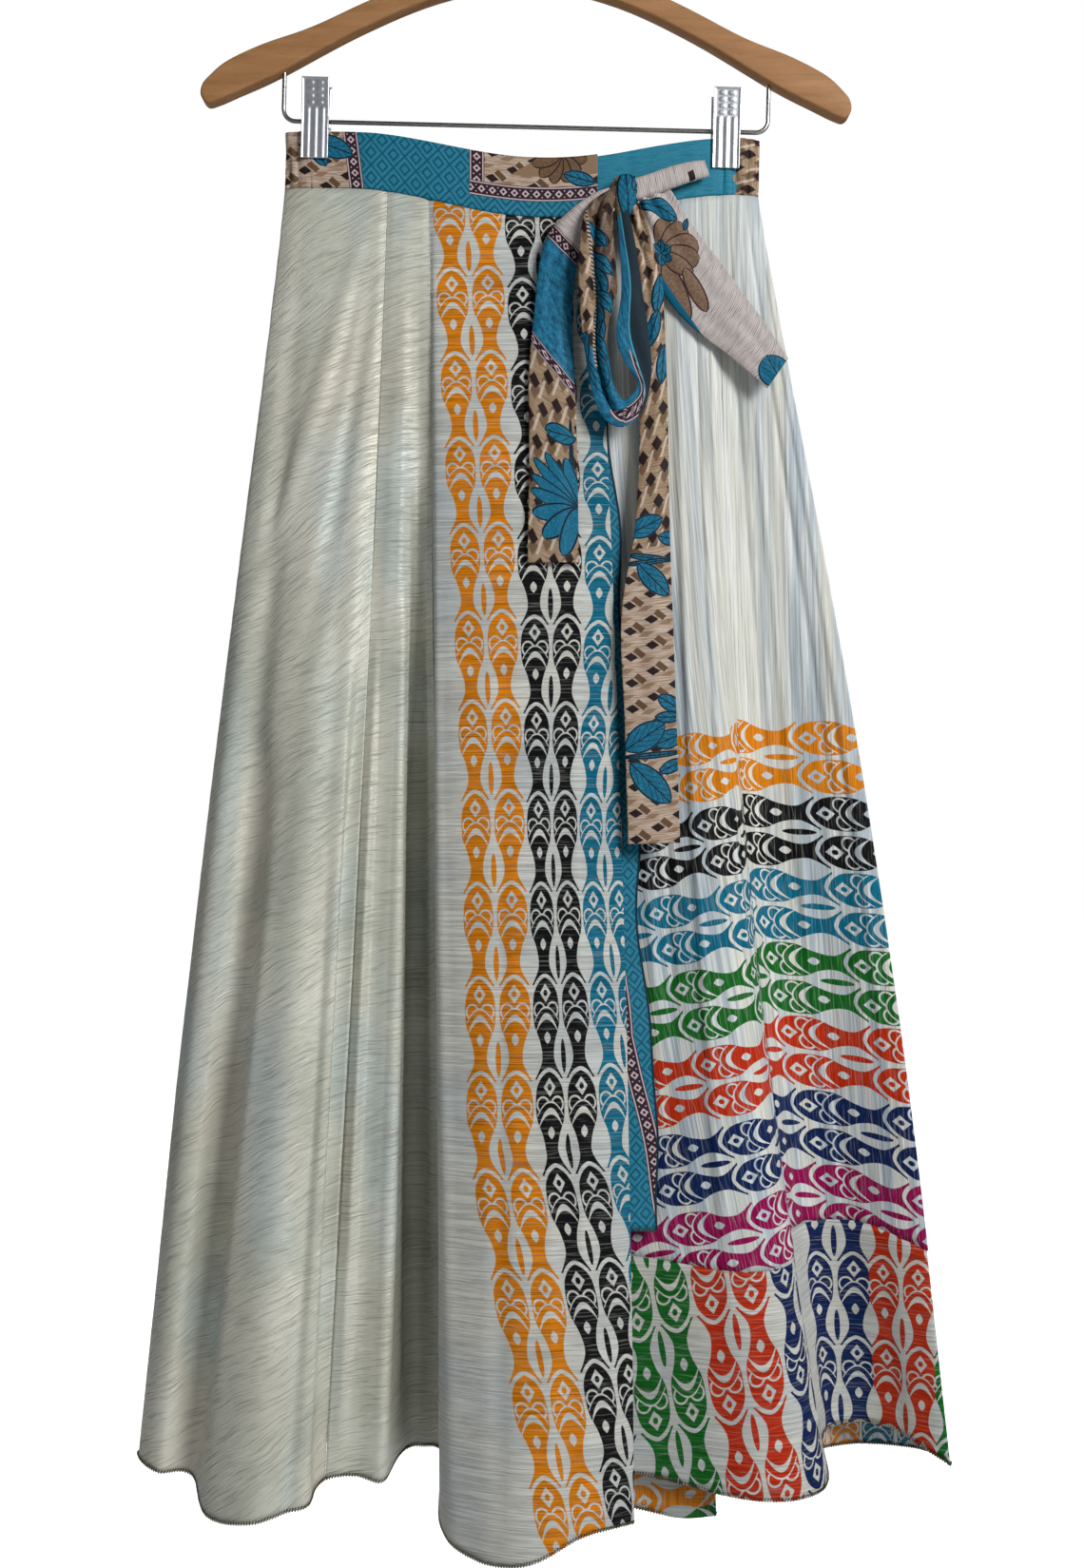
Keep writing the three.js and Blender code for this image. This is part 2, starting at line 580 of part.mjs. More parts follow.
for (const [place, x] of [["left", CLIP_AT[0]], ["right", CLIP_AT[1]]]) {
  const clip = new THREE.Group();
  // The clip slides along the bar and stays square to it, so it tilts with the hanger.
  clip.position.set(x * Math.cos(HANGER_TILT) - BAR_Z * Math.sin(HANGER_TILT), 0, BAR_Z);
  clip.add(named(`clip_${place}_front`, leafGeometry(-1, JAW_SHIFT.front), "chrome"));
  clip.add(named(`clip_${place}_back`, leafGeometry(1, JAW_SHIFT.back), "chrome"));
  clip.add(named(`clip_${place}_spring`, springGeometry(), "steel"));
  hanger.add(clip);
}

const part = new THREE.Group();
part.add(skirt, hanger);

export default part;
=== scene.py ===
import bpy
import bmesh
import math
from mathutils import Matrix, Vector, noise


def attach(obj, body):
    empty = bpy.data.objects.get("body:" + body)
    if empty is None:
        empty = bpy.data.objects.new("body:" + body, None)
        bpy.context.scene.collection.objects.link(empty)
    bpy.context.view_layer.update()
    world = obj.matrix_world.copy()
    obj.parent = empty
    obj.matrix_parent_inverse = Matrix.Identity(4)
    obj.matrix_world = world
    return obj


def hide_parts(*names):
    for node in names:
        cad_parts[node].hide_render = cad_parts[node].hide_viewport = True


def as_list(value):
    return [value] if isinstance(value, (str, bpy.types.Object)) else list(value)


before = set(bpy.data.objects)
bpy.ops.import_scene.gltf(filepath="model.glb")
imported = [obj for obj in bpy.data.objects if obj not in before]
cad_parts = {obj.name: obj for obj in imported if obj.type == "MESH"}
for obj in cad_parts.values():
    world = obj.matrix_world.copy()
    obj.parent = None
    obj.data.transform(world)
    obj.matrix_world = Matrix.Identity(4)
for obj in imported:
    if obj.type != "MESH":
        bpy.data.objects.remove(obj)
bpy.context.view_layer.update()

# ------------------------------------------------------------------ camera, floor and light
# A plain pale studio: the skirt hangs in front of the camera with the floor well below its hem.
# A large soft lamp stands before it on the right, a weaker one on the left and one behind.
CAMERA_PLACE = (0.0065, -1.150, -0.640)
PICTURE_TALL = 1.067  # height of what the camera takes in at the hanger, metres

scene = bpy.context.scene
scene.view_settings.view_transform = "Standard"
camera_data = bpy.data.cameras.new("camera")
camera_data.lens = camera_data.sensor_width * -CAMERA_PLACE[1] / PICTURE_TALL
camera = bpy.data.objects.new("camera", camera_data)
camera.location = CAMERA_PLACE
camera.rotation_euler = (math.pi / 2, 0, 0)
scene.collection.objects.link(camera)
scene.camera = camera


def srgb(red, green, blue):
    """The shader's colour for an sRGB colour given as three values up to 255."""
    linear = [((c / 255 + 0.055) / 1.055) ** 2.4 if c > 10 else c / 255 / 12.92 for c in (red, green, blue)]
    return (*linear, 1.0)


def shaped(bm, name):
    """Turns a finished bmesh into a smooth object of the scene."""
    for face in bm.faces:
        face.smooth = True
    mesh = bpy.data.meshes.new(name)
    bm.to_mesh(mesh)
    bm.free()
    made = bpy.data.objects.new(name, mesh)
    scene.collection.objects.link(made)
    return made


FLOOR_HEIGHT, FLOOR_RADIUS = -1.42, 9
bm = bmesh.new()
bmesh.ops.create_circle(bm, cap_ends=True, segments=96, radius=FLOOR_RADIUS)
bmesh.ops.translate(bm, verts=bm.verts, vec=(0, 0, FLOOR_HEIGHT))
floor = shaped(bm, "floor")
floor_paint = bpy.data.materials.new("floor_paint")
floor_paint.use_nodes = True
floor_shader = floor_paint.node_tree.nodes["Principled BSDF"]
floor_shader.inputs["Base Color"].default_value = srgb(225, 225, 225)
floor_shader.inputs["Roughness"].default_value = 0.9
floor_shader.inputs["Emission Color"].default_value = (1, 1, 1, 1)
floor_ray = floor_paint.node_tree.nodes.new("ShaderNodeLightPath")
floor_links = floor_paint.node_tree.links
floor_links.new(floor_ray.outputs["Is Camera Ray"], floor_shader.inputs["Emission Strength"])
floor.data.materials.append(floor_paint)

# The room is an even pale grey for the light, and white where the camera sees it.
room = bpy.data.worlds.new("room")
room.use_nodes = True
scene.world = room
room_nodes = room.node_tree.nodes
room_links = room.node_tree.links
room_light = room_nodes["Background"]
room_light.inputs["Color"].default_value = srgb(244, 247, 255)
room_light.inputs["Strength"].default_value = 0.085
room_seen = room_nodes.new("ShaderNodeBackground")
room_seen.inputs["Color"].default_value = (1, 1, 1, 1)
room_seen.inputs["Strength"].default_value = 1.0
ray = room_nodes.new("ShaderNodeLightPath")
choice = room_nodes.new("ShaderNodeMixShader")
room_links.new(ray.outputs["Is Camera Ray"], choice.inputs[0])
room_links.new(room_light.outputs[0], choice.inputs[1])
room_links.new(room_seen.outputs[0], choice.inputs[2])
room_links.new(choice.outputs[0], room_nodes["World Output"].inputs["Surface"])

# One row for each lamp: its name, place, the point it faces, its size and its power in watts.
LAMPS = [
    ("key", (1.40, -1.75, 0.42), (0, 0, -0.65), 0.9, 58),
    ("fill", (-1.9, -1.2, -0.2), (0, 0, -0.7), 1.2, 4),
    ("back", (-0.8, 2.2, 0.6), (0, 0, -0.65), 1.8, 32),
]
for name, place, target, size, power in LAMPS:
    lamp_data = bpy.data.lights.new(name, "AREA")
    lamp_data.size = size
    lamp_data.energy = power
    lamp = bpy.data.objects.new(name, lamp_data)
    lamp.location = place
    lamp.rotation_euler = (Vector(target) - Vector(place)).to_track_quat("-Z", "Y").to_euler()
    scene.collection.objects.link(lamp)

# ------------------------------------------------------------------ the satin gores
# The front left of the wrap and the first back gore: gores of slub satin, cut wider at the hem,
# sewn to each other down their long edges and to the waistband along the top. They hang from
# the clips in a few deep, rounded folds.
MM = 0.001
# One row for each fold of the wrap, in millimetres: its name, its place along X at the waist
# and at the hem, its place along Y there, the height of the hem, and its sideways bow.
FOLDS = [
    ("wrap_edge", 44, 66, -9.0, -62, -1116, 5),
    ("lip", 26, 52, -9.2, -72, -1115, 4),
    ("soft_trough", 6, 31, -9.4, -79, -1118, 3),
    ("middle", -19, -2, -9.3, -84, -1133, 1),
    ("flap_crest", -45, -34, -9.0, -72, -1136, 0),
    ("flap_fold", -64, -59, -8.6, -48, -1125, 0),
    ("border_seam", -70, -61, -8.4, 2, -1097, 0),
    ("valley", -75, -78, -8.1, 20, -1099, 0),
    ("valley_side", -80, -91, -7.9, 8, -1100, 0),
    ("ridge_edge", -86, -101, -7.6, -16, -1108, 0),
    ("ridge", -92, -119, -7.3, -14, -1105, 1),
    ("front_seam", -98, -138, -7.0, -18, -1106, 1),
    ("fold_edge", -109, -147, -6.5, -40, -1114, 0),
    ("fold_right", -120, -160, -5.4, -46, -1116, -1),
    ("fold_crest", -132, -184, -4.8, -52, -1121, -2),
    ("fold_left", -143, -214, -4.6, -38, -1122, -3),
    ("roll_trough", -152, -232, -4.3, -9, -1107, -4),
    ("roll_crest", -161, -252, -3.2, -13, -1103, -5),
    ("left_side", -168, -270, 0, 8, -1100, -6),
    ("back_1", -160, -258, 2.8, 30, -1104, -5),
    ("back_2", -142, -222, 3.2, 46, -1108, -4),
    ("back_3", -110, -174, 4.4, 66, -1112, -2),
    ("back_4", -76, -120, 4.9, 56, -1110, 0),
    ("back_5", -44, -70, 5.2, 82, -1114, 0),
    ("back_6", -12, -14, 5.4, 62, -1110, 0),
    ("back_7", 20, 42, 5.3, 86, -1116, 1),
    ("back_8", 50, 94, 5.0, 62, -1112, 3),
    ("back_9", 80, 144, 4.5, 80, -1118, 6),
    ("back_10", 106, 190, 3.9, 54, -1114, 8),
    ("back_11", 130, 236, 3.0, 66, -1114, 10),
    ("back_12", 146, 276, 2.6, 38, -1108, 14),
    ("right_side", 153, 286, 0, 6, -1106, 16),
    ("right_edge", 149, 267, -3.2, 14, -1096, 12),
    ("right_ridge", 143, 252, -4.1, 26, -1089, 5),
    ("right_soft", 137, 231, -4.4, 36, -1087, -3),
    ("hollow", 132, 209, -4.5, 32, -1089, -10),
    ("under_seam", 127, 197, -4.6, 2, -1088, -15),
    ("under_fold", 122, 196, -4.9, -28, -1104, -17),
    ("fold_side", 115, 177, -5.1, -48, -1106, -14),
    ("under_crest", 105, 151, -5.3, -52, -1106, -10),
    ("under_ridge", 90, 124, -5.3, -44, -1105, -5),
    ("under_soft", 72, 101, -5.2, -36, -1102, 0),
    ("emerges", 50, 74, -5.0, -30, -1098, 0),
    ("behind_flap", 12, 25, -4.8, -28, -1095, 0),
    ("lap_end", -26, -28, -4.6, -26, -1096, 0),
]
WAIST, HEM, TOP, DEEP, LOW, BOW = range(1, 7)
ROW_OF = {row[0]: i for i, row in enumerate(FOLDS)}
BAND_BOTTOM, SEAM_SAG = -236, 19  # the band's lower edge at the clips, and how far it sags between them
SAG_CENTRE, SAG_HALF = 6, 136
BAND_TILT = 0.016  # how the band falls to the right
CLIP_AT = (-142.3, 136.2)
FOLD_GROWTH, SPREAD_GROWTH = 1.22, 1.1  # how the folds deepen and the gores spread towards the hem
SEAM_GAP = 0.3


def mix(a, b, share):
    return a + (b - a) * share


def along(rows, column, s):
    """A smooth curve through one column of a table, at place s counted in rows."""
    last = len(rows) - 1
    i = min(max(int(math.floor(s)), 0), last - 1)
    t = s - i
    a, b = rows[max(i - 1, 0)][column], rows[i][column]
    c, d = rows[i + 1][column], rows[min(i + 2, last)][column]
    slope_b, slope_c = (c - a) / 2, (d - b) / 2
    square = 3 * (c - b) - 2 * slope_b - slope_c
    cube = 2 * (b - c) + slope_b + slope_c
    return b + t * (slope_b + t * (square + t * cube))


def edge_height(level, sag, x):
    """Height of one of the waistband's edges at x: it hangs down between the clips."""
    reach = min(abs((x - SAG_CENTRE) / SAG_HALF), 1)
    return level - sag * math.cos(reach * math.pi / 2) ** 2 - BAND_TILT * (x - CLIP_AT[0])


def skirt_point(s, v):
    """A point of the wrap: s counts rows of FOLDS, v runs from the waist, 0, to the hem, 1."""
    waist = along(FOLDS, WAIST, s)
    seam = edge_height(BAND_BOTTOM, SEAM_SAG, waist) - SEAM_GAP
    x = mix(waist, along(FOLDS, HEM, s), v**SPREAD_GROWTH) + along(FOLDS, BOW, s) * math.sin(math.pi * v)
    y = mix(along(FOLDS, TOP, s), along(FOLDS, DEEP, s), v**FOLD_GROWTH)
    return Vector((x, y, mix(seam, along(FOLDS, LOW, s), v))) * MM


# One row for each small crease: where it starts and ends, as a fold row and a share of the
# length, its half width in rows, and how far it stands out, in millimetres (in, if negative).
CREASES = [
    (7.3, 0.22, 7.3, 1.02, 0.90, -15.0),
    (8.6, 0.30, 9.0, 1.02, 0.50, 4.5),
    (9.7, 0.10, 10.2, 0.60, 0.70, 0.9),
    (10.6, 0.34, 10.6, 1.02, 0.45, 5.0),
    (11.5, 0.36, 11.45, 1.02, 0.60, -11.0),
    (12.4, 0.02, 16.8, 0.34, 0.80, 2.4),
    (11.6, 0.05, 14.6, 0.42, 0.70, -1.8),
    (13.4, 0.30, 14.1, 1.02, 0.90, 2.6),
    (12.6, 0.50, 13.0, 1.02, 0.40, -2.2),
    (15.4, 0.42, 16.1, 1.02, 1.00, -12.0),
    (17.2, 0.30, 17.3, 1.02, 0.50, 2.0),
    (5.2, 0.20, 4.6, 1.02, 0.35, 2.0),
    (3.2, 0.30, 3.6, 1.02, 0.30, -1.6),
    (1.6, 0.35, 1.9, 1.02, 0.30, 1.4),
    (2.4, 0.55, 2.6, 1.02, 0.22, 1.2),
    (20.2, 0.00, 20.6, 0.70, 0.35, 2.4),
    (21.4, 0.05, 21.2, 1.02, 0.30, -2.2),
    (22.6, 0.00, 22.9, 0.60, 0.35, 2.4),
    (23.6, 0.00, 23.3, 0.85, 0.25, -2.0),
    (24.5, 0.05, 24.8, 0.75, 0.35, 2.6),
    (25.4, 0.00, 25.2, 0.50, 0.30, -1.8),
    (26.6, 0.02, 26.4, 0.95, 0.30, 2.2),
    (27.5, 0.00, 27.8, 0.60, 0.30, -2.0),
    (28.6, 0.00, 28.4, 0.90, 0.35, 2.4),
    (29.5, 0.05, 29.7, 0.65, 0.30, -1.8),
    (31.6, 0.00, 31.8, 0.75, 0.25, 2.0),
    (32.8, 0.00, 32.5, 0.60, 0.30, -1.8),
    (33.7, 0.02, 34.0, 0.90, 0.25, 1.8),
    (34.8, 0.00, 34.6, 0.55, 0.25, -1.6),
    (37.3, 0.00, 37.6, 0.80, 0.30, 2.0),
    (38.5, 0.02, 38.4, 0.60, 0.25, -1.8),
    (39.6, 0.00, 39.4, 0.90, 0.30, 2.2),
    (40.6, 0.02, 40.8, 0.70, 0.25, -1.8),
    (41.5, 0.00, 41.3, 0.85, 0.30, 1.6),
]
CREASE_FADE = 0.7  # under 1, so a crease keeps its depth until close to its ends


def swell(away):
    """A soft bump: 1 in its middle and 0 where away is 1 or more."""
    return (math.cos(math.pi * min(abs(away), 1)) + 1) / 2


def crease_at(s, v):
    """How far the small creases push the cloth out at a point, in millimetres."""
    out = 0
    for start, high, end, low, half, depth in CREASES:
        share = (v - high) / (low - high)
        if 0 < share < 1:
            away = (s - mix(start, end, share)) / half
            out += depth * math.sin(math.pi * share) ** CREASE_FADE * swell(away)
    return out


# A seam pinches the cloth in, and puckers it in ripples, so many to the metre across and down.
SEAM_PINCH, PINCH_REACH = 0.9 * MM, 3.2 * MM
PUCKER, PUCKER_REACH, PUCKER_ACROSS, PUCKER_DOWN = 0.5 * MM, 16 * MM, 60, 95


def seam_push(off, down):
    """How far out the cloth lies at off from a seam and down along it."""
    ripple = noise.noise(Vector((off * PUCKER_ACROSS, down * PUCKER_DOWN, 3.1)))
    pinch = math.exp(-((off / PINCH_REACH) ** 2))
    return PUCKER * ripple * math.exp(-off / PUCKER_REACH) - SEAM_PINCH * pinch


def lay_cloth(
    name, point, across, down, cells, thick, relief,
    seams=(True, True), count_from="start", level=BAND_BOTTOM,
):
    """A piece of cloth: a grid bent onto point(s, v), pinched in at its sewn side edges.

    Its UV map "cut" is the cloth laid flat, in metres: across from the edge that count_from
    names, and down from the height level, in millimetres, or from its own top edge."""
    columns, rows = cells
    bm = bmesh.new()
    bmesh.ops.create_grid(bm, x_segments=columns, y_segments=rows, size=0.5)
    cell_of = {v: (round((v.co.x + 0.5) * columns), round((v.co.y + 0.5) * rows)) for v in bm.verts}
    s_at = [mix(*across, i / columns) for i in range(columns + 1)]
    v_at = [mix(*down, j / rows) for j in range(rows + 1)]
    base = [[point(s, v) for v in v_at] for s in s_at]
    wide = [[0.0] * (rows + 1) for _ in s_at]
    deep = [[0.0] * (rows + 1) for _ in s_at]
    for i in range(columns + 1):
        for j in range(rows + 1):
            if i:
                wide[i][j] = wide[i - 1][j] + (base[i][j] - base[i - 1][j]).length
            if j:
                deep[i][j] = deep[i][j - 1] + (base[i][j] - base[i][j - 1]).length
            elif level is not None:
                deep[i][j] = level * MM - base[i][0].z
    for vert, (i, j) in cell_of.items():
        side = base[min(i + 1, columns)][j] - base[max(i - 1, 0)][j]
        fall = base[i][min(j + 1, rows)] - base[i][max(j - 1, 0)]
        push = relief(s_at[i], v_at[j], wide[i][j], deep[i][j])
        for sewn, off in zip(seams, (wide[i][j], wide[columns][j] - wide[i][j])):
            if sewn:
                push += seam_push(off, deep[i][j])
        vert.co = base[i][j] + side.cross(fall).normalized() * push
    cut = bm.loops.layers.uv.new("cut")
    for face in bm.faces:
        for loop in face.loops:
            i, j = cell_of[loop.vert]
            u = wide[i][j] if count_from == "start" else wide[columns][j] - wide[i][j]
            loop[cut].uv = (u, deep[i][j])
    cloth = shaped(bm, name)
    wall = cloth.modifiers.new("thickness", "SOLIDIFY")
    wall.thickness = thick
    wall.offset = 0
    return cloth


def put(tree, kind, *inputs, **settings):
    """Adds a shader node, sets its settings, and joins or fills its inputs in order."""
    node = tree.nodes.new("ShaderNode" + kind)
    for key, value in settings.items():
        setattr(node, key, value)
    for socket, value in zip(node.inputs, inputs):
        join(tree, value, socket)
    return node


def join(tree, value, socket):
    if isinstance(value, Field):
        tree.links.new(value.socket, socket)
    elif isinstance(value, bpy.types.NodeSocket):
        tree.links.new(value, socket)
    elif value is not None:
        socket.default_value = value


class Field:
    """A number that varies over the cloth, so that a pattern can be written as a sum.

    As a mask it runs from 0 to 1: a < b is 1 where a is below b, with an edge as soft as ink."""

    def __init__(self, tree, socket, soft=0.35):
        self.tree, self.socket, self.soft = tree, socket, soft

    def use(self, operation, *others, clamp=False):
        node = put(self.tree, "Math", self, *others, operation=operation, use_clamp=clamp)
        return Field(self.tree, node.outputs[0], self.soft)

    def __add__(self, other):
        return self.use("ADD", other)

    def __sub__(self, other):
        return self.use("SUBTRACT", other)

    def __rsub__(self, other):
        return self * -1.0 + other

    def __mul__(self, other):
        return self.use("MULTIPLY", other)

    def __truediv__(self, other):
        return self.use("DIVIDE", other)

    def __mod__(self, other):
        return self.use("FLOORED_MODULO", other)

    def __pow__(self, other):
        return self.use("POWER", other)

    def __abs__(self):
        return self.use("ABSOLUTE")

    def __neg__(self):
        return self.use("MULTIPLY", -1.0)

    def __lt__(self, other):
        return ((self - other) * (-1 / self.soft) + 0.5).use("ADD", 0.0, clamp=True)

    def __gt__(self, other):
        return ((self - other) * (1 / self.soft) + 0.5).use("ADD", 0.0, clamp=True)

    def __and__(self, other):
        return self.use("MINIMUM", other)

    def __or__(self, other):
        return self.use("MAXIMUM", other)

    def __invert__(self):
        return -self + 1.0

    def floor(self):
        return self.use("FLOOR")

    def rise(self, start, steepness, most=1.0):
        """0 up to start, and from there growing by steepness up to most."""
        return ((self - start) * steepness & most) | 0.0

    def fall(self, end, steepness, most=1.0):
        """0 from end on, and before it growing backwards by steepness up to most."""
        return ((end - self) * steepness & most) | 0.0


def cut_place(tree):
    """Where a point lies on the cloth's flat cut, across and down, in millimetres."""
    flat = put(tree, "UVMap", uv_map="cut")
    parts = put(tree, "SeparateXYZ", flat.outputs[0])
    return Field(tree, parts.outputs[0]) * 1000.0, Field(tree, parts.outputs[1]) * 1000.0


def join_vector(tree, x, y, z=0.0):
    return put(tree, "CombineXYZ", x, y, z).outputs[0]


def grain(tree, place, size, detail=2.0, rough=0.5):
    """Soft random variation from 0 to 1 over place, in patches of about size."""
    node = put(tree, "TexNoise", noise_dimensions="3D")
    join(tree, place, node.inputs["Vector"])
    node.inputs["Scale"].default_value = 1 / size
    node.inputs["Detail"].default_value = detail
    node.inputs["Roughness"].default_value = rough
    return Field(tree, node.outputs["Fac"])


def blend(tree, under, over, share):
    """One colour laid on another by a mask."""
    node = put(tree, "Mix", data_type="RGBA")
    join(tree, share, node.inputs[0])
    join(tree, under, node.inputs[6])
    join(tree, over, node.inputs[7])
    return node.outputs[2]


def finish_shader(name, colour_of, bump_of, rough, bump_height, **sockets):
    """A material whose colour and relief come from functions of its tree, and its roughness may too."""
    material = bpy.data.materials.new(name)
    material.use_nodes = True
    tree = material.node_tree
    shader = tree.nodes["Principled BSDF"]
    join(tree, rough(tree) if callable(rough) else rough, shader.inputs["Roughness"])
    for socket, value in sockets.items():
        shader.inputs[socket.replace("_", " ")].default_value = value
    join(tree, colour_of(tree), shader.inputs["Base Color"])
    bump = put(tree, "Bump")
    bump.inputs["Strength"].default_value = 1.0
    bump.inputs["Distance"].default_value = bump_height
    join(tree, bump_of(tree), bump.inputs["Height"])
    tree.links.new(bump.outputs[0], shader.inputs["Normal"])
    return material


def turned(x, y, degrees):
    """Place x, y turned about the origin."""
    c, s = math.cos(math.radians(degrees)), math.sin(math.radians(degrees))
    return x * c + y * s, y * c - x * s


def satin_slubs(tree, slant):
    """Long thin slubs along the weft, which climbs to the right by slant degrees: 1 on a thread."""
    x, y = cut_place(tree)
    run, rise = turned(-x, y, -slant)
    wander = grain(tree, join_vector(tree, run * 0.012, rise * 0.012, 50.0), 1.0, 2.0) * 26.0
    light = grain(tree, join_vector(tree, run * 0.036, (rise + wander) * 1.05), 1.0, 2.0, 0.55)
    dark = grain(tree, join_vector(tree, run * 0.042, (rise + wander) * 0.70, 7.0), 1.0, 2.0)
    return light.rise(0.50, 6.0), dark.rise(0.52, 6.0)


def painted_satin_sheen(tree, slant):
    """Painted sheen and painted shade on the shot silk: long patches where its colour is lightened or
    darkened as if it caught more or less light, whose edges are hatched.
    """
    x, y = cut_place(tree)
    run, rise = turned(-x, y, -slant)
    patch = grain(tree, join_vector(tree, run * 0.010, rise * 0.012, 63.0), 1.0, 1.0)
    hatch = grain(tree, join_vector(tree, run * 0.045, rise * 0.55, 71.0), 1.0, 2.0)
    level = patch + hatch * 0.35
    return level.rise(0.72, 9.0), level.fall(0.62, 9.0)


def satin_cloth(name, slant):
    """Shot satin: grey green, a little cooler or warmer in places, with long patches of painted shade and
    painted sheen, and slubs that catch the light.
    """

    def colour_of(tree):
        x, y = cut_place(tree)
        light, dark = satin_slubs(tree, slant)
        patch = grain(tree, join_vector(tree, x * 1.4, y * 0.5, 30.0), 90.0, 1.0)
        cool = grain(tree, join_vector(tree, x * 1.8, y * 0.5, 90.0), 80.0, 1.0)
        colour = blend(tree, srgb(193, 195, 181), srgb(204, 198, 183), patch.rise(0.44, 4.0, 0.8))
        colour = blend(tree, colour, srgb(184, 197, 194), cool.rise(0.5, 5.0, 0.8))
        # Painted shade and painted sheen: the colour is darkened and lightened in long hatched patches.
        shade_patch, sheen_patch = painted_satin_sheen(tree, slant)
        colour = blend(tree, colour, srgb(140, 146, 136), shade_patch * 0.32)
        colour = blend(tree, colour, srgb(224, 222, 212), sheen_patch * 0.40)
        colour = blend(tree, colour, srgb(226, 225, 212), light * 0.55)
        return blend(tree, colour, srgb(122, 123, 110), dark * 0.42)

    def relief_of(tree):
        light, dark = satin_slubs(tree, slant)
        return light * 0.6 - dark * 0.5

    def rough_of(tree):
        light, dark = satin_slubs(tree, slant)
        return light * -0.04 + dark * 0.06 + 0.5

    return finish_shader(name, colour_of, relief_of, rough_of, 0.0005, Metallic=0.18)


satin_front, satin_side = satin_cloth("satin_front", 14.0), satin_cloth("satin_side", 30.0)


def dress(piece, finish, nodes=()):
    """Gives a piece its finish and puts it in the place of the frame's nodes."""
    piece.data.materials.append(finish)
    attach(piece, "root")
    if nodes:
        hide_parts(*nodes)


def satin_folds(s, v, wide, deep):
    """The small creases, and soft dents that begin a little way down."""
    drift = noise.noise(Vector((wide * 14, deep * 5, s * 0.02))) * 1.1
    return (crease_at(s, v) + drift * min(v * 4, 1)) * MM


CLOTH = 0.9 * MM
CELLS_DOWN = 160
PER_ROW = 12  # cells from one fold row to the next
panels = {}  # each piece of the wrap by name: its cloth, its surface and the fold rows it spans


def skirt_panel(name, start, end, finish, slot, relief, top=0.0, bottom=1.0, **options):
    """One panel of the wrap between two fold rows, standing for the frame's node of that name."""
    across = (ROW_OF[start], ROW_OF[end])
    cells = ((across[1] - across[0]) * PER_ROW, round(CELLS_DOWN * (bottom - top)))
    cloth = lay_cloth(
        name + "_cloth", skirt_point, across, (top, bottom), cells, CLOTH, relief, **options
    )
    dress(cloth, finish, [name])
    panels[name] = (cloth, skirt_point, across)


skirt_panel("front_gore", "border_seam", "front_seam", satin_front, "satin_sage", satin_folds)
skirt_panel("side_gore", "front_seam", "back_1", satin_side, "satin_sage", satin_folds)
skirt_panel("back_left_gore", "back_1", "back_4", satin_side, "satin_sage", satin_folds)

# ------------------------------------------------------------------ the printed flap
# The front edge of the wrap: a straight panel of cream slub silk, block printed with pairs of
# fish in columns down its grain, orange, black and teal, the last one cut by the edge.
REPEAT = 60.6  # from one fish's head to the next
PAIR_APART = 11.7  # from the middle of a pair to each of its fish
# The fish's half width at places along it from head to tail, in millimetres.
FISH_OUTLINE = [
    (0, 0), (1.5, 3.0), (3.8, 5.6), (7, 7.8), (11.7, 9.6), (16.4, 10.2), (25, 10.3), (30.3, 9.7),
    (35, 8.1), (39.6, 6.3), (44.3, 5.1), (49, 4.4), (52.7, 4.5), (56, 5.4), (60.6, 7.6), (64, 9.6),
]
FISH_LONG, FISH_HALF = 64.0, 10.4


def stencil(name, inputs, draw, soft=0.35):
    """A reusable pattern: draw gets one Field for each input and gives the mask."""
    tree = bpy.data.node_groups.new(name, "ShaderNodeTree")
    for label in inputs:
        tree.interface.new_socket(label, in_out="INPUT", socket_type="NodeSocketFloat")
    tree.interface.new_socket("Mask", in_out="OUTPUT", socket_type="NodeSocketFloat")
    start = tree.nodes.new("NodeGroupInput")
    end = tree.nodes.new("NodeGroupOutput")
    fields = [Field(tree, start.outputs[label], soft) for label in inputs]
    join(tree, draw(tree, *fields), end.inputs["Mask"])
    return tree


def print_with(tree, pattern, *values):
    """The mask of a stencil, used in another tree."""
    node = put(tree, "Group", node_tree=pattern)
    for socket, value in zip(node.inputs, values):
        join(tree, value, socket)
    return Field(tree, node.outputs[0])


def fish_width(tree, place):
    """The fish's half width at a place along it."""
    curve = put(tree, "FloatCurve")
    join(tree, place / FISH_LONG, curve.inputs["Value"])
    points = curve.mapping.curves[0].points
    while len(points) < len(FISH_OUTLINE):
        points.new(0.5, 0.5)
    for point, (where, half) in zip(points, FISH_OUTLINE):
        point.location = (where / FISH_LONG, half / FISH_HALF)
    curve.mapping.update()
    return Field(tree, curve.outputs[0]) * FISH_HALF


def oval(x, y, half):
    """1 on the outline of an oval and less inside it, as the square of the share of the way."""
    return (x / half[0]) ** 2.0 + (y / half[1]) ** 2.0


def inside(share, size):
    """The mask where share is under 1, with its edge as sharp as on a length of this size."""
    return share * size < size


HALFWAY = 30.0  # past it a place along the column is nearer to the next fish's head
TAIL_FROM, TAIL_PAST = 50.0, 5.0  # where the tail begins, and how far into the next fish it reaches
GAP_AHEAD, GAP_SIDE = 2.4, 1.0  # bare cloth between a tail and the next head
# The marks on a fish and the seed between two tails, out from its midline and down from its
# nose: middles and half sizes. The scale lines bend back by so much of the square of x.
EYE_AT, EYE_HALF, PUPIL_HALF = 10.0, (4.4, 6.1), (1.6, 2.1)
CURL_AT, CURL_HALF, CURL_END = (5.2, 21.0), (4.7, 5.4), 19.2
BROW_AT, BROW_BEND, BROW_WIDE = 19.3, 0.1, 9.4
COLLAR_TOP, COLLAR_TOP_BEND = 23.1, 0.16
COLLAR_LOW, COLLAR_LOW_BEND, COLLAR_WIDE = 27.3, 0.115, 8.4
SPOT_AT, SPOT_HALF = 38.9, (2.3, 4.0)
SEED_AT, SEED_HALF = 51.0, (1.8, 11.0)


